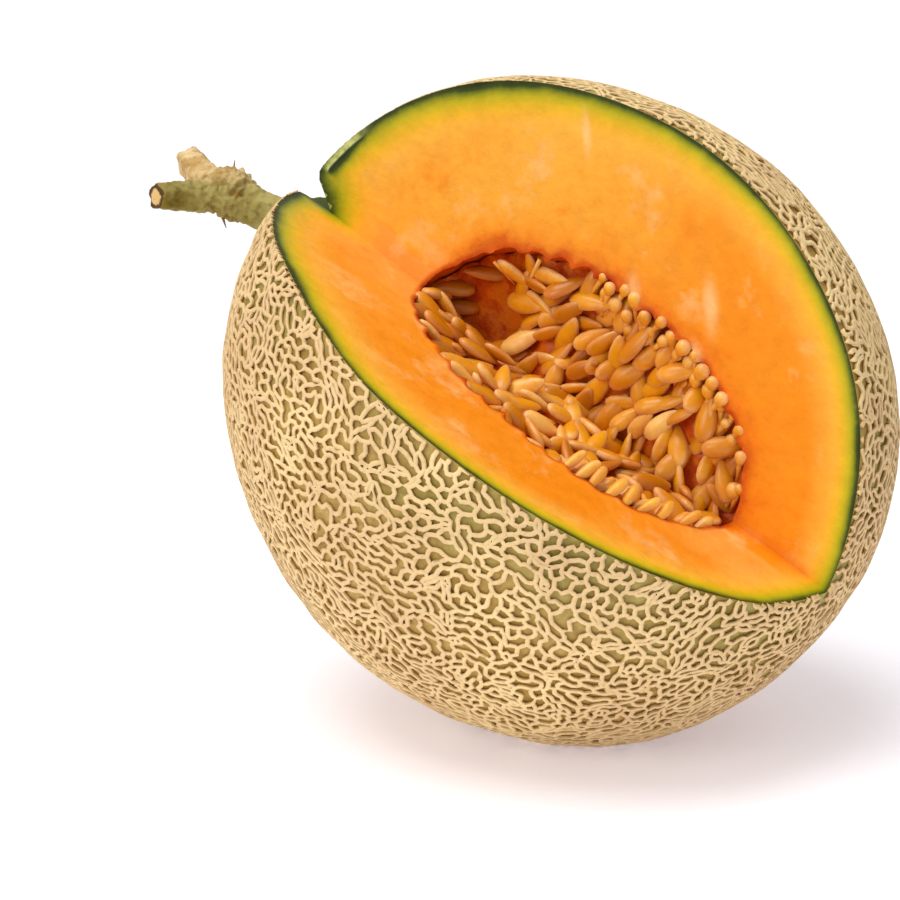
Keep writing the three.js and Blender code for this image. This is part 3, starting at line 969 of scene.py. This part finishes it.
def body_piece():
    cavity = cavity_mesh()
    tree = BVHTree.FromBMesh(cavity)
    bm = carve(spun_skin(), wedge_solid("wedge"), solid_object("cavity", cavity))
    cut_below(bm, 0)
    layers = mark_layers(bm, tree)
    rim = [vert for vert in bm.verts if vert[layers["hollow"]] < RIM_WIDTH and vert[layers["depth"]] > 8]
    bmesh.ops.smooth_vert(bm, verts=rim, factor=0.5, use_axis_x=True, use_axis_y=True, use_axis_z=True)
    bm.normal_update()
    choose_materials(bm, layers["depth"])
    piece = finish_piece("melon_body", bm, [SKIN, FLESH], ("flesh", "rind"))
    piece.data.set_sharp_from_angle(angle=SHARP_ANGLE)


body_piece()

# %% [markdown]
# The net's cells
#
# A melon's net is cork that grew over cracks, so it is an uneven mesh of small cells. A texture of
# cells would do from afar, but here the net stands out against the light and is cut with the
# fruit. So points are spread evenly over a ball and shaken, a hull wraps them, and a bevel of its
# corners turns it into cells of about six sides. Some neighbours are joined, mostly where that
# lengthens them along the fruit, and the lines between the cells are bent a little.

# %% The net's cells
NET_POINTS = 3900
NET_SHAKE = 0.42
NET_BEND = 0.3
LONG_EDGE = 1.4
LIKELY, LIKELIER = 0.2, 0.35


def joined_cells(bm, rng):
    """The edges to leave out, each of which joins two cells, no cell twice."""
    edges = bm.edges[:]
    rng.shuffle(edges)
    joined, gone = set(), []
    for edge in edges:
        if any(face in joined for face in edge.link_faces):
            continue
        way = (edge.verts[1].co - edge.verts[0].co).normalized()
        lies_round = 1 - abs(way.z)
        if rng.random() < LIKELY + LIKELIER * lies_round:
            gone.append(edge)
            joined.update(edge.link_faces)
    return gone


def net_cells(rng):
    """Uneven cells that cover a ball of the skin's radius."""
    bm = bmesh.new()
    golden = math.pi * (3 - math.sqrt(5))
    shake = NET_SHAKE * math.sqrt(4 * math.pi / NET_POINTS)
    for i in range(NET_POINTS):
        z = 1 - 2 * (i + 0.5) / NET_POINTS
        wide = math.sqrt(1 - z * z)
        point = Vector((wide * math.cos(golden * i), wide * math.sin(golden * i), z))
        point += Vector([rng.uniform(-shake, shake) for _ in range(3)])
        bm.verts.new(point.normalized() * SKIN_RADIUS)
    bmesh.ops.convex_hull(bm, input=bm.verts[:])
    bmesh.ops.bevel(
        bm, geom=bm.verts[:], offset=33.0, offset_type="PERCENT", affect="VERTICES", segments=1, profile=0.5,
        material=-1,
    )
    bmesh.ops.dissolve_edges(bm, edges=joined_cells(bm, rng), use_verts=False)
    long_edges = [edge for edge in bm.edges if edge.calc_length() > LONG_EDGE]
    bmesh.ops.subdivide_edges(bm, edges=long_edges, cuts=1)
    for vert in bm.verts:
        vert.co += Vector([rng.uniform(-NET_BEND, NET_BEND) for _ in range(3)])
    bmesh.ops.smooth_vert(bm, verts=bm.verts, factor=0.25, use_axis_x=True, use_axis_y=True, use_axis_z=True)
    for vert in bm.verts:
        vert.co = vert.co.normalized() * SKIN_RADIUS
    bm.normal_update()
    print("net cells", len(bm.faces), "edges", len(bm.edges))
    return bm


# %% [markdown]
# The net's cords
#
# A round tube along every edge would need far more faces, and its lower half would never show. The
# wireframe operator gives every edge a simple cord. Its outer points become the crest and its
# inner points the feet, which are sunk in the skin so that no gap shows. The cords are bolder in
# some places than in others, and they fade out beside the cut at the stem end.

# %% Cords on the skin
NET_CORD, NET_HEIGHT, NET_ROOT = 1.05, 0.75, 0.4
NET_SEED = 11


def cord_boldness(places):
    """How tall the cords are at some places, as a share of the usual height."""
    bold = np.array([1 + 0.5 * noise.noise(Vector(place) * 0.12) for place in places])
    ways = places - np.array(WEDGE_EDGE)
    for out, normal, low, high in ((BACK_OUT, BACK_NORMAL, 5, 25), (FRONT_OUT, FRONT_NORMAL, 62, 70)):
        beside = np.clip((places[:, 2] - low) / (high - low), 0, 1) * (ways @ np.array(out) > 0)
        bold = bold * (1 - 0.85 * beside * np.clip(1 - np.abs(ways @ np.array(normal)) / 7, 0, 1))
    return bold


def raised_cords():
    """The whole net on the skin, with a value that tells its crests from its feet."""
    bm = net_cells(random.Random(NET_SEED))
    bmesh.ops.wireframe(
        bm, faces=bm.faces[:], thickness=NET_CORD, offset=0.5, use_replace=True, use_boundary=True,
        use_even_offset=False,
    )
    places = np.array([vert.co for vert in bm.verts])
    far = np.linalg.norm(places, axis=1)
    heights = far - SKIN_RADIUS
    crest, foot = heights > 0.05, heights < -0.05
    raised = 0.05 + np.where(crest, NET_HEIGHT * cord_boldness(places), np.where(foot, -NET_ROOT, 0.0))
    set_places(bm, skin_points(places / far[:, None], raised))
    # lift is 1 on crests and 0 at the feet, where the net's material paints shade.
    lift = bm.verts.layers.float.new("lift")
    for vert, is_crest in zip(bm.verts, crest):
        vert[lift] = float(is_crest)
    print("cords of", len(bm.faces), "faces, of whose corners", int(crest.sum()), "are crests")
    return bm


# %% [markdown]
# The net, cut with the fruit
#
# The net ends where the knife went through. A boolean could cut it with the wedge's own solid, but
# it wants closed meshes, and one plane is quicker on so many cords. The front face bulges, so the
# net beside it is first moved by that bulge onto a true plane, cut there, and moved back. What lies
# in the wedge or in the bare ring round the stem is deleted, and the cut cords are closed.

# %% The net cut along the wedge
def cut_with_fruit(bm):
    """Cuts the cords along both cut faces, and takes away what lies in the wedge."""
    for out, normal in ((FRONT_OUT, FRONT_NORMAL), (BACK_OUT, BACK_NORMAL)):
        near = []
        for face in bm.faces:
            way = face.calc_center_median() - WEDGE_EDGE
            if way.dot(out) > 0 and abs(way.dot(normal)) < 4:
                near.append(face)
        parts = {v for face in near for v in face.verts} | {e for face in near for e in face.edges}
        bmesh.ops.bisect_plane(
            bm, geom=[*parts, *near], plane_co=WEDGE_EDGE - normal * 0.1, plane_no=normal, dist=1e-5
        )
    inside = []
    for face in bm.faces:
        way = face.calc_center_median() - WEDGE_EDGE
        if way.dot(FRONT_NORMAL) > -0.1 and way.dot(BACK_NORMAL) > -0.1:
            inside.append(face)
    bmesh.ops.delete(bm, geom=inside, context="FACES")
    bmesh.ops.holes_fill(bm, edges=[edge for edge in bm.edges if edge.is_boundary], sides=0)
    print("faces in the wedge", len(inside))


# %% The net's pieces
NET_FREE_RADIUS = 15.5
NET_CLEARANCE = 0.0001


def net_pieces():
    bm = raised_cords()
    warp = bm.verts.layers.float.new("warp")
    for vert in bm.verts:
        way = vert.co - WEDGE_EDGE
        reach = way.dot(FRONT_OUT)
        if reach > 0 and abs(way.dot(FRONT_NORMAL)) < 8:
            vert[warp] = front_bulge(reach, way.dot(WEDGE_SLOPE))
            vert.co -= FRONT_NORMAL * vert[warp]
    bare = [v for v in bm.verts if v.co.z > 40 and math.hypot(v.co.x, v.co.y) < NET_FREE_RADIUS]
    bmesh.ops.delete(bm, geom=bare, context="VERTS")
    cut_with_fruit(bm)
    for vert in bm.verts:
        vert.co += FRONT_NORMAL * vert[warp]
    cut_below(bm, NET_CLEARANCE)
    for name, sign in (("net_stem_half", 1), ("net_far_half", -1)):
        half = bm.copy()
        wrong = [face for face in half.faces if face.calc_center_median().z * sign <= 0]
        bmesh.ops.delete(half, geom=wrong, context="FACES")
        finish_piece(name, half, [NET], ("net",))
    bm.free()


net_pieces()

# %% [markdown]
# The pulp
#
# The seeds lie in a soft wet pulp that is torn out a little below the cut faces, deepest in one
# hollow near the stem. It could be sculpted, but it has to fill the cavity without a gap. So it is
# the cavity's own solid, a little smaller, with the sunken and torn wedge taken away. Its surface
# is kept in a search tree, so that seeds can be set down on it.

# %% Pulp
PULP_RECESS = 6.5


def pulp_piece():
    valley = wedge_solid("valley", under=PULP_RECESS, wave=2.5, cell=1.6, torn=True)
    bm = carve(solid_object("core", cavity_mesh(inset=0.5)), valley)
    tree = BVHTree.FromBMesh(bm)
    finish_piece("pulp", bm, [PULP], ("seeds",))
    return tree


pulp_tree = pulp_piece()

# %% [markdown]
# Where the cavity ends
#
# Seeds may not stick through the cavity's wall, and the cord heads follow its rim. Rays shot at the
# mesh could find the wall, but its sockets would make the answer jump. The cavity's own formula,
# without them, says smoothly how near a point is to the wall.

# %% Distances in the cavity
def in_cavity(place, margin):
    """How near a point is to the cavity's wall: below 1 it lies inside, less a margin."""
    way = place - CAVITY_MIDDLE
    share = cavity_share(way.z / (CAVITY_HALF_LENGTH - margin))
    return math.hypot(way.x, way.y) / max(0.01, share * (CAVITY_RADIUS - margin))


def cavity_reach(side, along):
    """How far a cut face runs from the wedge's edge before the cavity's rim."""
    reach = 0.0
    while reach < 50 and in_cavity(face_point(side, reach, along), 0) < 1:
        reach += 0.25
    return reach


print("the back face meets the cavity's rim", cavity_reach("back", 0.0), "mm from the crease")

# %% [markdown]
# One seed
#
# A seed is a flattened drop, broad at one end. It could be sculpted once in fine detail, but it is
# repeated hundreds of times, so a ball with few faces is squeezed and stretched into it, and smooth
# shading does the rest. Cord heads and short seed ends come from the same function with other sizes.

# %% One seed
SEED_SIDES = 8


def add_seed(bm, layers, place, heading, flat, sizes, tint):
    """One seed: a flattened drop, broad where it heads, with its length, width and thickness."""
    wide = heading.cross(flat).normalized()
    turn = Matrix((wide, heading, wide.cross(heading))).transposed().to_4x4()
    turn.translation = place
    made = bmesh.ops.create_uvsphere(bm, u_segments=SEED_SIDES, v_segments=SEED_SIDES, radius=0.5)["verts"]
    tint_layer, edge_layer = layers
    length, width, thickness = sizes
    for vert in made:
        run = 2 * vert.co.z
        vert[tint_layer] = tint
        vert[edge_layer] = math.sqrt(max(0.0, 1 - 4 * vert.co.y**2))
        fuller = (1 + 0.28 * run - 0.12 * run * run) / max(0.3, 1 - run * run) ** 0.1
        vert.co = Vector((vert.co.x * width * fuller, run * length / 2, vert.co.y * thickness * fuller))
    bmesh.ops.transform(bm, matrix=turn, verts=made)


def seed_layers(bm):
    """The layers for a seed's own tint and for how near its margin a point is."""
    return bm.verts.layers.float.new("tint"), bm.verts.layers.float.new("edge")


print("faces of one seed", SEED_SIDES * SEED_SIDES)


# %% [markdown]
# All the seeds
#
# The seeds could be let fall with physics, but wet seeds stick where they hang. So they are dropped
# at random on the pulp and kept where none lies too near. They lie combed along the pulp, and one
# rule turns each seed by its place. The hollow stays empty but for a few seeds that lie level in its
# shade, which are listed one by one.

# %% Seeds dropped on the pulp
SEED_LENGTH, SEED_WIDTH, SEED_THICKNESS = 11, 4.9, 2.7
SEED_TRIES, SEED_SPACING, SEED_SEED = 7000, 3.7, 23
HOLLOW_SEEDS = ((4.3, 35.6), (1.5, 32.0), (12.5, 30.0))
# The seeds in the hollow get the darkest tint, as painted shade.
HOLLOW_SEED_SIZES, HOLLOW_SEED_SHADED_TINT = (11.5, 4.8, 3.4), 0.06


def seed_directions(rng, along, normal):
    """Which way a seed heads and which way its flat side looks."""
    turn = math.radians(258 - 88 * (along + 50) / 90 + rng.gauss(0, 24))
    heading = RIGHT * math.cos(turn) + UP * math.sin(turn)
    heading = (heading - normal * heading.dot(normal)).normalized()
    heading = (heading + normal * rng.uniform(-0.35, 0.45)).normalized()
    flat = (normal + heading.cross(normal) * rng.uniform(-1.0, 1.0)).normalized()
    return heading, flat


def drop_seeds(bm, layers, tree, rng):
    """Drops seeds on the pulp, and gives the places where they lie."""
    placed = []
    for _ in range(SEED_TRIES):
        along = rng.uniform(-54, 42)
        side = "back" if rng.random() < 0.6 else "front"
        reach = rng.uniform(0, 34)
        over = face_point(side, reach, along) + WEDGE_OUT * 6
        hit, normal, _, _ = tree.ray_cast(over, -WEDGE_OUT, 60)
        if hit is None or in_cavity(hit, 3.6) > 1:
            continue
        in_hollow = side == "back" and hollow_distance(reach, along) < 1
        if in_hollow or any((hit - other).length < SEED_SPACING for other in placed):
            continue
        placed.append(hit)
        heading, flat = seed_directions(rng, along, normal)
        size = rng.uniform(0.78, 1.1)
        tint = min(0.95, max(0.05, rng.gauss(0.52, 0.24)))
        place = hit + normal * rng.uniform(0.3, 3.4)
        sizes = (SEED_LENGTH * size, SEED_WIDTH * size, SEED_THICKNESS * size)
        add_seed(bm, layers, place, heading, flat, sizes, tint)
    return placed


# %% The seeds' piece
def seed_piece(tree):
    """The dropped seeds and the few in the hollow, as one piece."""
    bm = bmesh.new()
    layers = seed_layers(bm)
    placed = drop_seeds(bm, layers, tree, random.Random(SEED_SEED))
    for reach, along in HOLLOW_SEEDS:
        hit = tree.ray_cast(face_point("back", reach, along) + AWAY, AWAY, 60)[0]
        heading, flat = (RIGHT - UP * 0.1).normalized(), (UP - AWAY).normalized()
        add_seed(bm, layers, hit - AWAY * 1.2, heading, flat, HOLLOW_SEED_SIZES, HOLLOW_SEED_SHADED_TINT)
    print("seeds", len(placed) + len(HOLLOW_SEEDS))
    finish_piece("melon_seeds", bm, [SEED], ("seeds",))


seed_piece(pulp_tree)

# %% [markdown]
# Cord heads, seed ends and threads
#
# Each seed hangs on a cord. Along the back edge of the cavity only the round heads of the cords
# show, a few rows deep. Along the front edge short pale seed ends stand out like teeth, and a few
# torn threads cross the hollow. Scattering would leave gaps in such rows, so they are placed step
# by step along the rim, from the cavity's formula, with small random errors.

# %% Threads
def add_thread(bm, layers, start, goal, radii, tint):
    """A thin straight thread from one point to another."""
    made = bmesh.ops.create_cone(
        bm, cap_ends=True, segments=6, radius1=radii[0], radius2=radii[1], depth=(goal - start).length
    )["verts"]
    turn = (goal - start).to_track_quat("Z", "Y").to_matrix().to_4x4()
    turn.translation = (start + goal) / 2
    tint_layer, edge_layer = layers
    for vert in made:
        vert[tint_layer] = tint
        vert[edge_layer] = 0.8
    bmesh.ops.transform(bm, matrix=turn, verts=made)


# %% Cord heads
HEAD_ROWS, HEADS_FROM, HEADS_TO = 4, 8.0, -50


def add_heads(bm, layers, rng):
    """Rows of round cord heads on thin stalks along the back rim."""
    for row in range(HEAD_ROWS):
        along = HEADS_FROM - 1.6 * row
        while along > HEADS_TO:
            along -= rng.uniform(3.0, 4.4)
            reach = cavity_reach("back", along) + 0.6 - 3.0 * row - rng.uniform(0, 2.2)
            if rng.random() < 0.12 * row or reach < 3:
                continue
            place = face_point("back", reach, along, under=0.6 + 1.3 * row + rng.uniform(-0.9, 0.9))
            heading = BACK_OUT * 0.9 + BACK_NORMAL * 0.4 + WEDGE_SLOPE * rng.uniform(-0.3, 0.5)
            heading.normalize()
            size = rng.uniform(2.3, 3.7)
            sizes = (1.3 * size, size, 0.95 * size)
            add_seed(bm, layers, place, heading, BACK_NORMAL, sizes, rng.uniform(0.72, 0.95))
            add_thread(bm, layers, place - heading * rng.uniform(5, 8), place, (0.4, 0.85), 0.75)


# %% Seed ends
TOOTH_ROWS, TEETH_FROM, TEETH_TO = 2, -21.0, -47


def add_teeth(bm, layers, rng):
    """Rows of short seed ends along the front rim."""
    for row in range(TOOTH_ROWS):
        along = TEETH_FROM - 1.5 * row
        while along > TEETH_TO:
            along -= rng.uniform(2.9, 4.1)
            heading = BACK_OUT * 0.7 - FRONT_OUT * 0.75 + WEDGE_SLOPE * rng.uniform(-0.25, 0.25)
            heading.normalize()
            reach = cavity_reach("front", along) - 0.4 - 2.6 * row
            place = face_point("front", reach, along, under=0.4 + 2.2 * row) + heading * 1.5
            flat = (WEDGE_OUT + WEDGE_SLOPE * rng.uniform(-0.4, 0.4)).normalized()
            sizes = (rng.uniform(6.2, 8.4), rng.uniform(2.3, 3.0), 2.2)
            add_seed(bm, layers, place, heading, flat, sizes, rng.uniform(0.7, 0.95))


# %% The rim's piece
THREADS = ((21.5, 20.5, 5.0, 22.0, 0.6), (27.0, 5.2, 21.0, 9.0, 0.45), (14.5, 30.0, 10.0, 24.0, 0.4))
THREAD_DEPTH = 9.0
RIM_SEED = 31


def rim_piece():
    rng = random.Random(RIM_SEED)
    bm = bmesh.new()
    layers = seed_layers(bm)
    add_heads(bm, layers, rng)
    add_teeth(bm, layers, rng)
    for start_reach, start_along, goal_reach, goal_along, thick in THREADS:
        start = face_point("back", start_reach, start_along, under=0.8)
        goal = face_point("back", goal_reach, goal_along, under=THREAD_DEPTH)
        add_thread(bm, layers, start, goal, (thick, thick * 0.7), 0.8)
    finish_piece("seed_heads", bm, [SEED], ("seeds",))


rim_piece()

# %% [markdown]
# Limbs of the stem
#
# The stem left the vine in a swollen knot, with a short cut end of the vine on either side. A curve
# with a round bevel makes such limbs at once, but not their ridges. So each limb is a ring of
# points drawn along a curve and extruded step by step, with soft ridges along it.

# %% Curves
def curve_points(points, steps):
    """Evenly shared points of a smooth curve through a few points."""
    found = []
    for i in range(len(points) - 1):
        p0, p1, p2, p3 = points[max(0, i - 1)], points[i], points[i + 1], points[min(len(points) - 1, i + 2)]
        for k in range(steps):
            t = k / steps
            bend = (2 * p0 - 5 * p1 + 4 * p2 - p3) * t**2 + (3 * p1 - p0 - 3 * p2 + p3) * t**3
            found.append(0.5 * (2 * p1 + (p2 - p0) * t + bend))
    found.append(points[-1].copy())
    return found


# %% A limb
def swept(bm, path, radii, sides=24, ridges=5, ridge_depth=0.06):
    """A rod drawn along a path ring by ring and closed at both ends."""
    ring = bmesh.ops.create_circle(bm, segments=sides, radius=1.0)["verts"]
    bmesh.ops.contextual_create(bm, geom=ring)
    order = {vert: math.atan2(vert.co.y, vert.co.x) for vert in ring}
    for index, (place, radius) in enumerate(zip(path, radii)):
        if index:
            edges = [edge for edge in bm.edges if edge.verts[0] in order and edge.verts[1] in order]
            grown = bmesh.ops.extrude_edge_only(bm, edges=edges)["geom"]
            fresh = [item for item in grown if isinstance(item, bmesh.types.BMVert)]
            order = {
                vert: min(order.items(), key=lambda old: (old[0].co - vert.co).length)[1] for vert in fresh
            }
        along = (path[min(len(path) - 1, index + 1)] - path[max(0, index - 1)]).normalized()
        wide = Vector((0, 1, 0)).cross(along).normalized()
        deep = along.cross(wide)
        for vert, around in order.items():
            out = radius * (1 + ridge_depth * math.cos(ridges * around))
            vert.co = place + (wide * math.cos(around) + deep * math.sin(around)) * out
    bmesh.ops.contextual_create(bm, geom=list(order))


# %% [markdown]
# The stem as one body
#
# A plant's limbs grow into each other. Three rods and a ball that only overlap would show hard
# seams, so a voxel remesh melts them into one skin. It must be fine enough to keep the ridges.

# %% The stem's limbs
STEM_ROOT = Vector((0, 0, 67.6))
STEM_RISE = Vector((0, 0, 77.2)) - UP * 1.5
STEM_BEND = Vector((8.8, 0.8, 90.2)) - UP * 2.5
STEM_KNOT = Vector((14.6, 1, 102.5))
FRONT_VINE_END = Vector((29, 14.4, 111.2)) + RIGHT * 1.4
BACK_VINE_END = Vector((15.2, -12.2, 126))
CURVE_STEPS = 8
STEM_RADIUS, LIMB_RADIUS, KNOT_RADIUS = 4.8, 4.7, 6.7
FRONT_VINE_RADIUS, BACK_VINE_RADIUS = 3.1, 3.7
STEM_VOXEL = 0.45


def stem_limbs():
    """The three limbs and the knot between them, melted into one solid."""
    bm = bmesh.new()
    path = curve_points([STEM_ROOT, STEM_RISE, STEM_BEND, STEM_KNOT], CURVE_STEPS)
    radii = [STEM_RADIUS + 1.1 * math.exp(-((i / len(path) / 0.25) ** 2)) for i in range(len(path))]
    swept(bm, path, radii)
    vines = (
        (FRONT_VINE_END, AWAY * 3, FRONT_VINE_RADIUS),
        (BACK_VINE_END, Vector((1.2, 0, 0.6)), BACK_VINE_RADIUS),
    )
    for end, bow, end_radius in vines:
        path = curve_points([STEM_KNOT, STEM_KNOT.lerp(end, 0.5) + bow, end], CURVE_STEPS)
        radii = [LIMB_RADIUS + (end_radius - LIMB_RADIUS) * i / len(path) for i in range(len(path))]
        swept(bm, path, radii, ridge_depth=0.09)
    ball = bmesh.ops.create_icosphere(bm, subdivisions=4, radius=KNOT_RADIUS)["verts"]
    bmesh.ops.scale(bm, vec=(0.95, 0.9, 1.1), verts=ball)
    bmesh.ops.translate(bm, vec=STEM_KNOT, verts=ball)
    solid = solid_object("stem_limbs", bm)
    remesh = solid.modifiers.new("join", "REMESH")
    remesh.mode = "VOXEL"
    remesh.voxel_size = STEM_VOXEL
    return carve(solid)


print("the stem stands", round(STEM_KNOT.z - float(outline(0.0)[1]), 1), "mm out of its pit, up to the knot")


# %% [markdown]
# Bark, cut ends and spikes
#
# The dried bark is a light roughness, stronger at the knot. Bump alone would leave the stem's
# outline smooth, so the vertices themselves are moved by a noise. The cut ends, the pale dead bark
# and the cracked ring below the knot are named values on the vertices, and two thin spikes are the
# dry remains of leaf stalks. The pale value also holds a painted highlight on the top of the knot,
# and another value holds painted shade low down in the pit.

# %% Bark and cut ends
END_RADIUS, END_MIDDLE = 4.8, 2.0


def mark_stem(vert, layers):
    """Roughens one vertex of the stem and writes its values."""
    to_back = (BACK_VINE_END - STEM_KNOT).normalized()
    way = vert.co - STEM_KNOT
    near_knot = 1 - smooth_part(way.length, 6, 11)
    # Painted shade: the stem is darkened low down in the pit.
    vert[layers["shaded"]] = 1 - smooth_part(vert.co.z, 82, 88)
    bark = 0.35 * noise.noise(vert.co * 0.35) + (0.25 + 0.9 * near_knot) * noise.noise(vert.co * 0.8)
    vert.co += vert.normal * bark
    crack = math.exp(-(((way.z + 3.5 + noise.noise(vert.co * 0.4)) / 1.3) ** 2))
    broken = smooth_part(noise.noise(vert.co * 0.6), -0.1, 0.3)
    beside_knot = smooth_part(way.length, 3, 5) * (1 - smooth_part(way.length, 9, 10))
    vert[layers["scar"]] = 0.55 * crack * broken * beside_knot
    # Painted highlight: the top of the knot is made paler, in the same value as the dead bark.
    lit = 0.8 * near_knot * smooth_part(way.dot(UP), 0, 5)
    vert[layers["pale"]] = max(smooth_part(way.dot(to_back), 4, 9), lit)
    for tip in (FRONT_VINE_END, BACK_VINE_END):
        out = (tip - STEM_KNOT).normalized()
        from_tip = vert.co - tip
        beside = (from_tip - out * from_tip.dot(out)).length
        if vert.normal.dot(out) > 0.6 and from_tip.length < END_RADIUS:
            vert[layers["end"]] = 1.0 if beside < END_MIDDLE else 0.5


# %% The stem's piece
SPIKES = (
    (STEM_KNOT + UP * 6.0 + RIGHT * 0.5, (UP + RIGHT * 0.1).normalized()),
    (STEM_KNOT - UP * 6.2 - RIGHT * 2.2, (-UP * 0.9 + RIGHT * 0.3).normalized()),
)
SPIKE_LENGTH, SPIKE_RADIUS, SPIKE_TIP = 3.6, 0.5, 0.08


def stem_piece():
    bm = stem_limbs()
    bmesh.ops.smooth_vert(bm, verts=bm.verts, factor=0.5, use_axis_x=True, use_axis_y=True, use_axis_z=True)
    bm.normal_update()
    layers = {name: bm.verts.layers.float.new(name) for name in ("pale", "scar", "end", "shaded")}
    for vert in bm.verts:
        mark_stem(vert, layers)
    for place, heading in SPIKES:
        spike = bmesh.ops.create_cone(
            bm, cap_ends=True, segments=6, radius1=SPIKE_RADIUS, radius2=SPIKE_TIP, depth=SPIKE_LENGTH
        )["verts"]
        turn = heading.to_track_quat("Z", "Y").to_matrix().to_4x4()
        turn.translation = place + heading * 0.8
        for vert in spike:
            vert[layers["scar"]] = 0.5
        bmesh.ops.transform(bm, matrix=turn, verts=spike)
    finish_piece("stem_and_vine", bm, [STEM], ("stem",))


stem_piece()

# %% [markdown]
# Floor
#
# The fruit lies on a pale floor that fades into a white studio. A curved backdrop is the usual way,
# but one square whose far parts turn see-through does the same. A faint glow of its own keeps the
# shadow on it light.

# %% Floor
FLOOR_SIZE = 6.0
FLOOR_GLOW = 0.32
FADE_FROM, FADE_TO = 0.35, 0.8
floor_bm = bmesh.new()
bmesh.ops.create_grid(floor_bm, x_segments=1, y_segments=1, size=FLOOR_SIZE)
floor_mesh = bpy.data.meshes.new("floor")
floor_bm.to_mesh(floor_mesh)
floor_bm.free()
floor = bpy.data.objects.new("floor", floor_mesh)
bpy.context.scene.collection.objects.link(floor)
floor_material, nodes, sockets, place = new_material(
    "pale_floor", Roughness=0.6, Emission_Color=(0.86, 0.84, 1.0, 1), Emission_Strength=FLOOR_GLOW
)
pale = nodes.mix(nodes.noise(place, 3.0, detail=2.0), (0.93, 0.92, 0.935, 1), (0.95, 0.94, 0.955, 1))
nodes.feed(pale, sockets["Base Color"])
distance = nodes.add("ShaderNodeVectorMath", {0: place}, operation="LENGTH").outputs["Value"]
nodes.feed(nodes.spread(distance, FADE_FROM, FADE_TO, 1.0, 0.0), sockets["Alpha"])
floor.data.materials.append(floor_material)
print("the floor fades out from", FADE_FROM, "to", FADE_TO, "m away")

# %% [markdown]
# Light
#
# A large soft light hangs over the fruit and a second one stands in front on the left, so the
# shadow is faint and falls to the right. One sun would be simpler, but its shadows have hard edges.
# The world looks white, but lights with half that strength, or the colours would wash out.

# %% The studio's own light
SEEN_STRENGTH, LIT_STRENGTH = 1.05, 0.5
world = bpy.data.worlds.new("studio")
bpy.context.scene.world = world
world.use_nodes = True
world.node_tree.nodes.clear()
sky = Nodes(world.node_tree)
seen = sky.add("ShaderNodeBackground", {"Color": (1, 1, 1, 1), "Strength": SEEN_STRENGTH})
lit = sky.add("ShaderNodeBackground", {"Color": (1, 0.99, 0.985, 1), "Strength": LIT_STRENGTH})
by_camera = sky.add("ShaderNodeLightPath").outputs["Is Camera Ray"]
both = sky.add("ShaderNodeMixShader", {0: by_camera, 1: lit.outputs[0], 2: seen.outputs[0]})
sky.add("ShaderNodeOutputWorld", {0: both.outputs[0]})
print("the studio looks", SEEN_STRENGTH, "bright and lights with", LIT_STRENGTH)


# %% Soft lights
MIDDLE = (0, 0, 0.0746)


def soft_light(name, place, aim, size, power):
    """A round area light that looks at a point."""
    data = bpy.data.lights.new(name, "AREA")
    data.shape = "DISK"
    data.size = size
    data.energy = power
    lamp = bpy.data.objects.new(name, data)
    lamp.location = place
    lamp.rotation_euler = (Vector(aim) - Vector(place)).to_track_quat("-Z", "Y").to_euler()
    bpy.context.scene.collection.objects.link(lamp)
    print("light", name, power, "W")


soft_light("overhead", (-0.6, -0.25, 2.4), MIDDLE, size=2.0, power=42)
soft_light("front_left", (-1.9, -1.9, 1.3), MIDDLE, size=1.6, power=20)

# %% [markdown]
# Camera
#
# A short lens from close by would swell the near side of the fruit, so a long one is used, from a
# little above. Depth of field is off, so that every seed stays sharp.

# %% Camera
camera_data = bpy.data.cameras.new("camera")
camera_data.lens = 92
camera_data.sensor_width = 36
camera_data.dof.use_dof = False
camera = bpy.data.objects.new("camera", camera_data)
camera.location = (-0.0250, -0.5336, 0.1778)
camera.rotation_euler = (math.radians(78), 0, 0)
bpy.context.scene.collection.objects.link(camera)
bpy.context.scene.camera = camera
bpy.context.scene.view_settings.view_transform = "Standard"
print("camera", round(-camera.location.y, 2), "m in front, lens of", camera_data.lens, "mm")
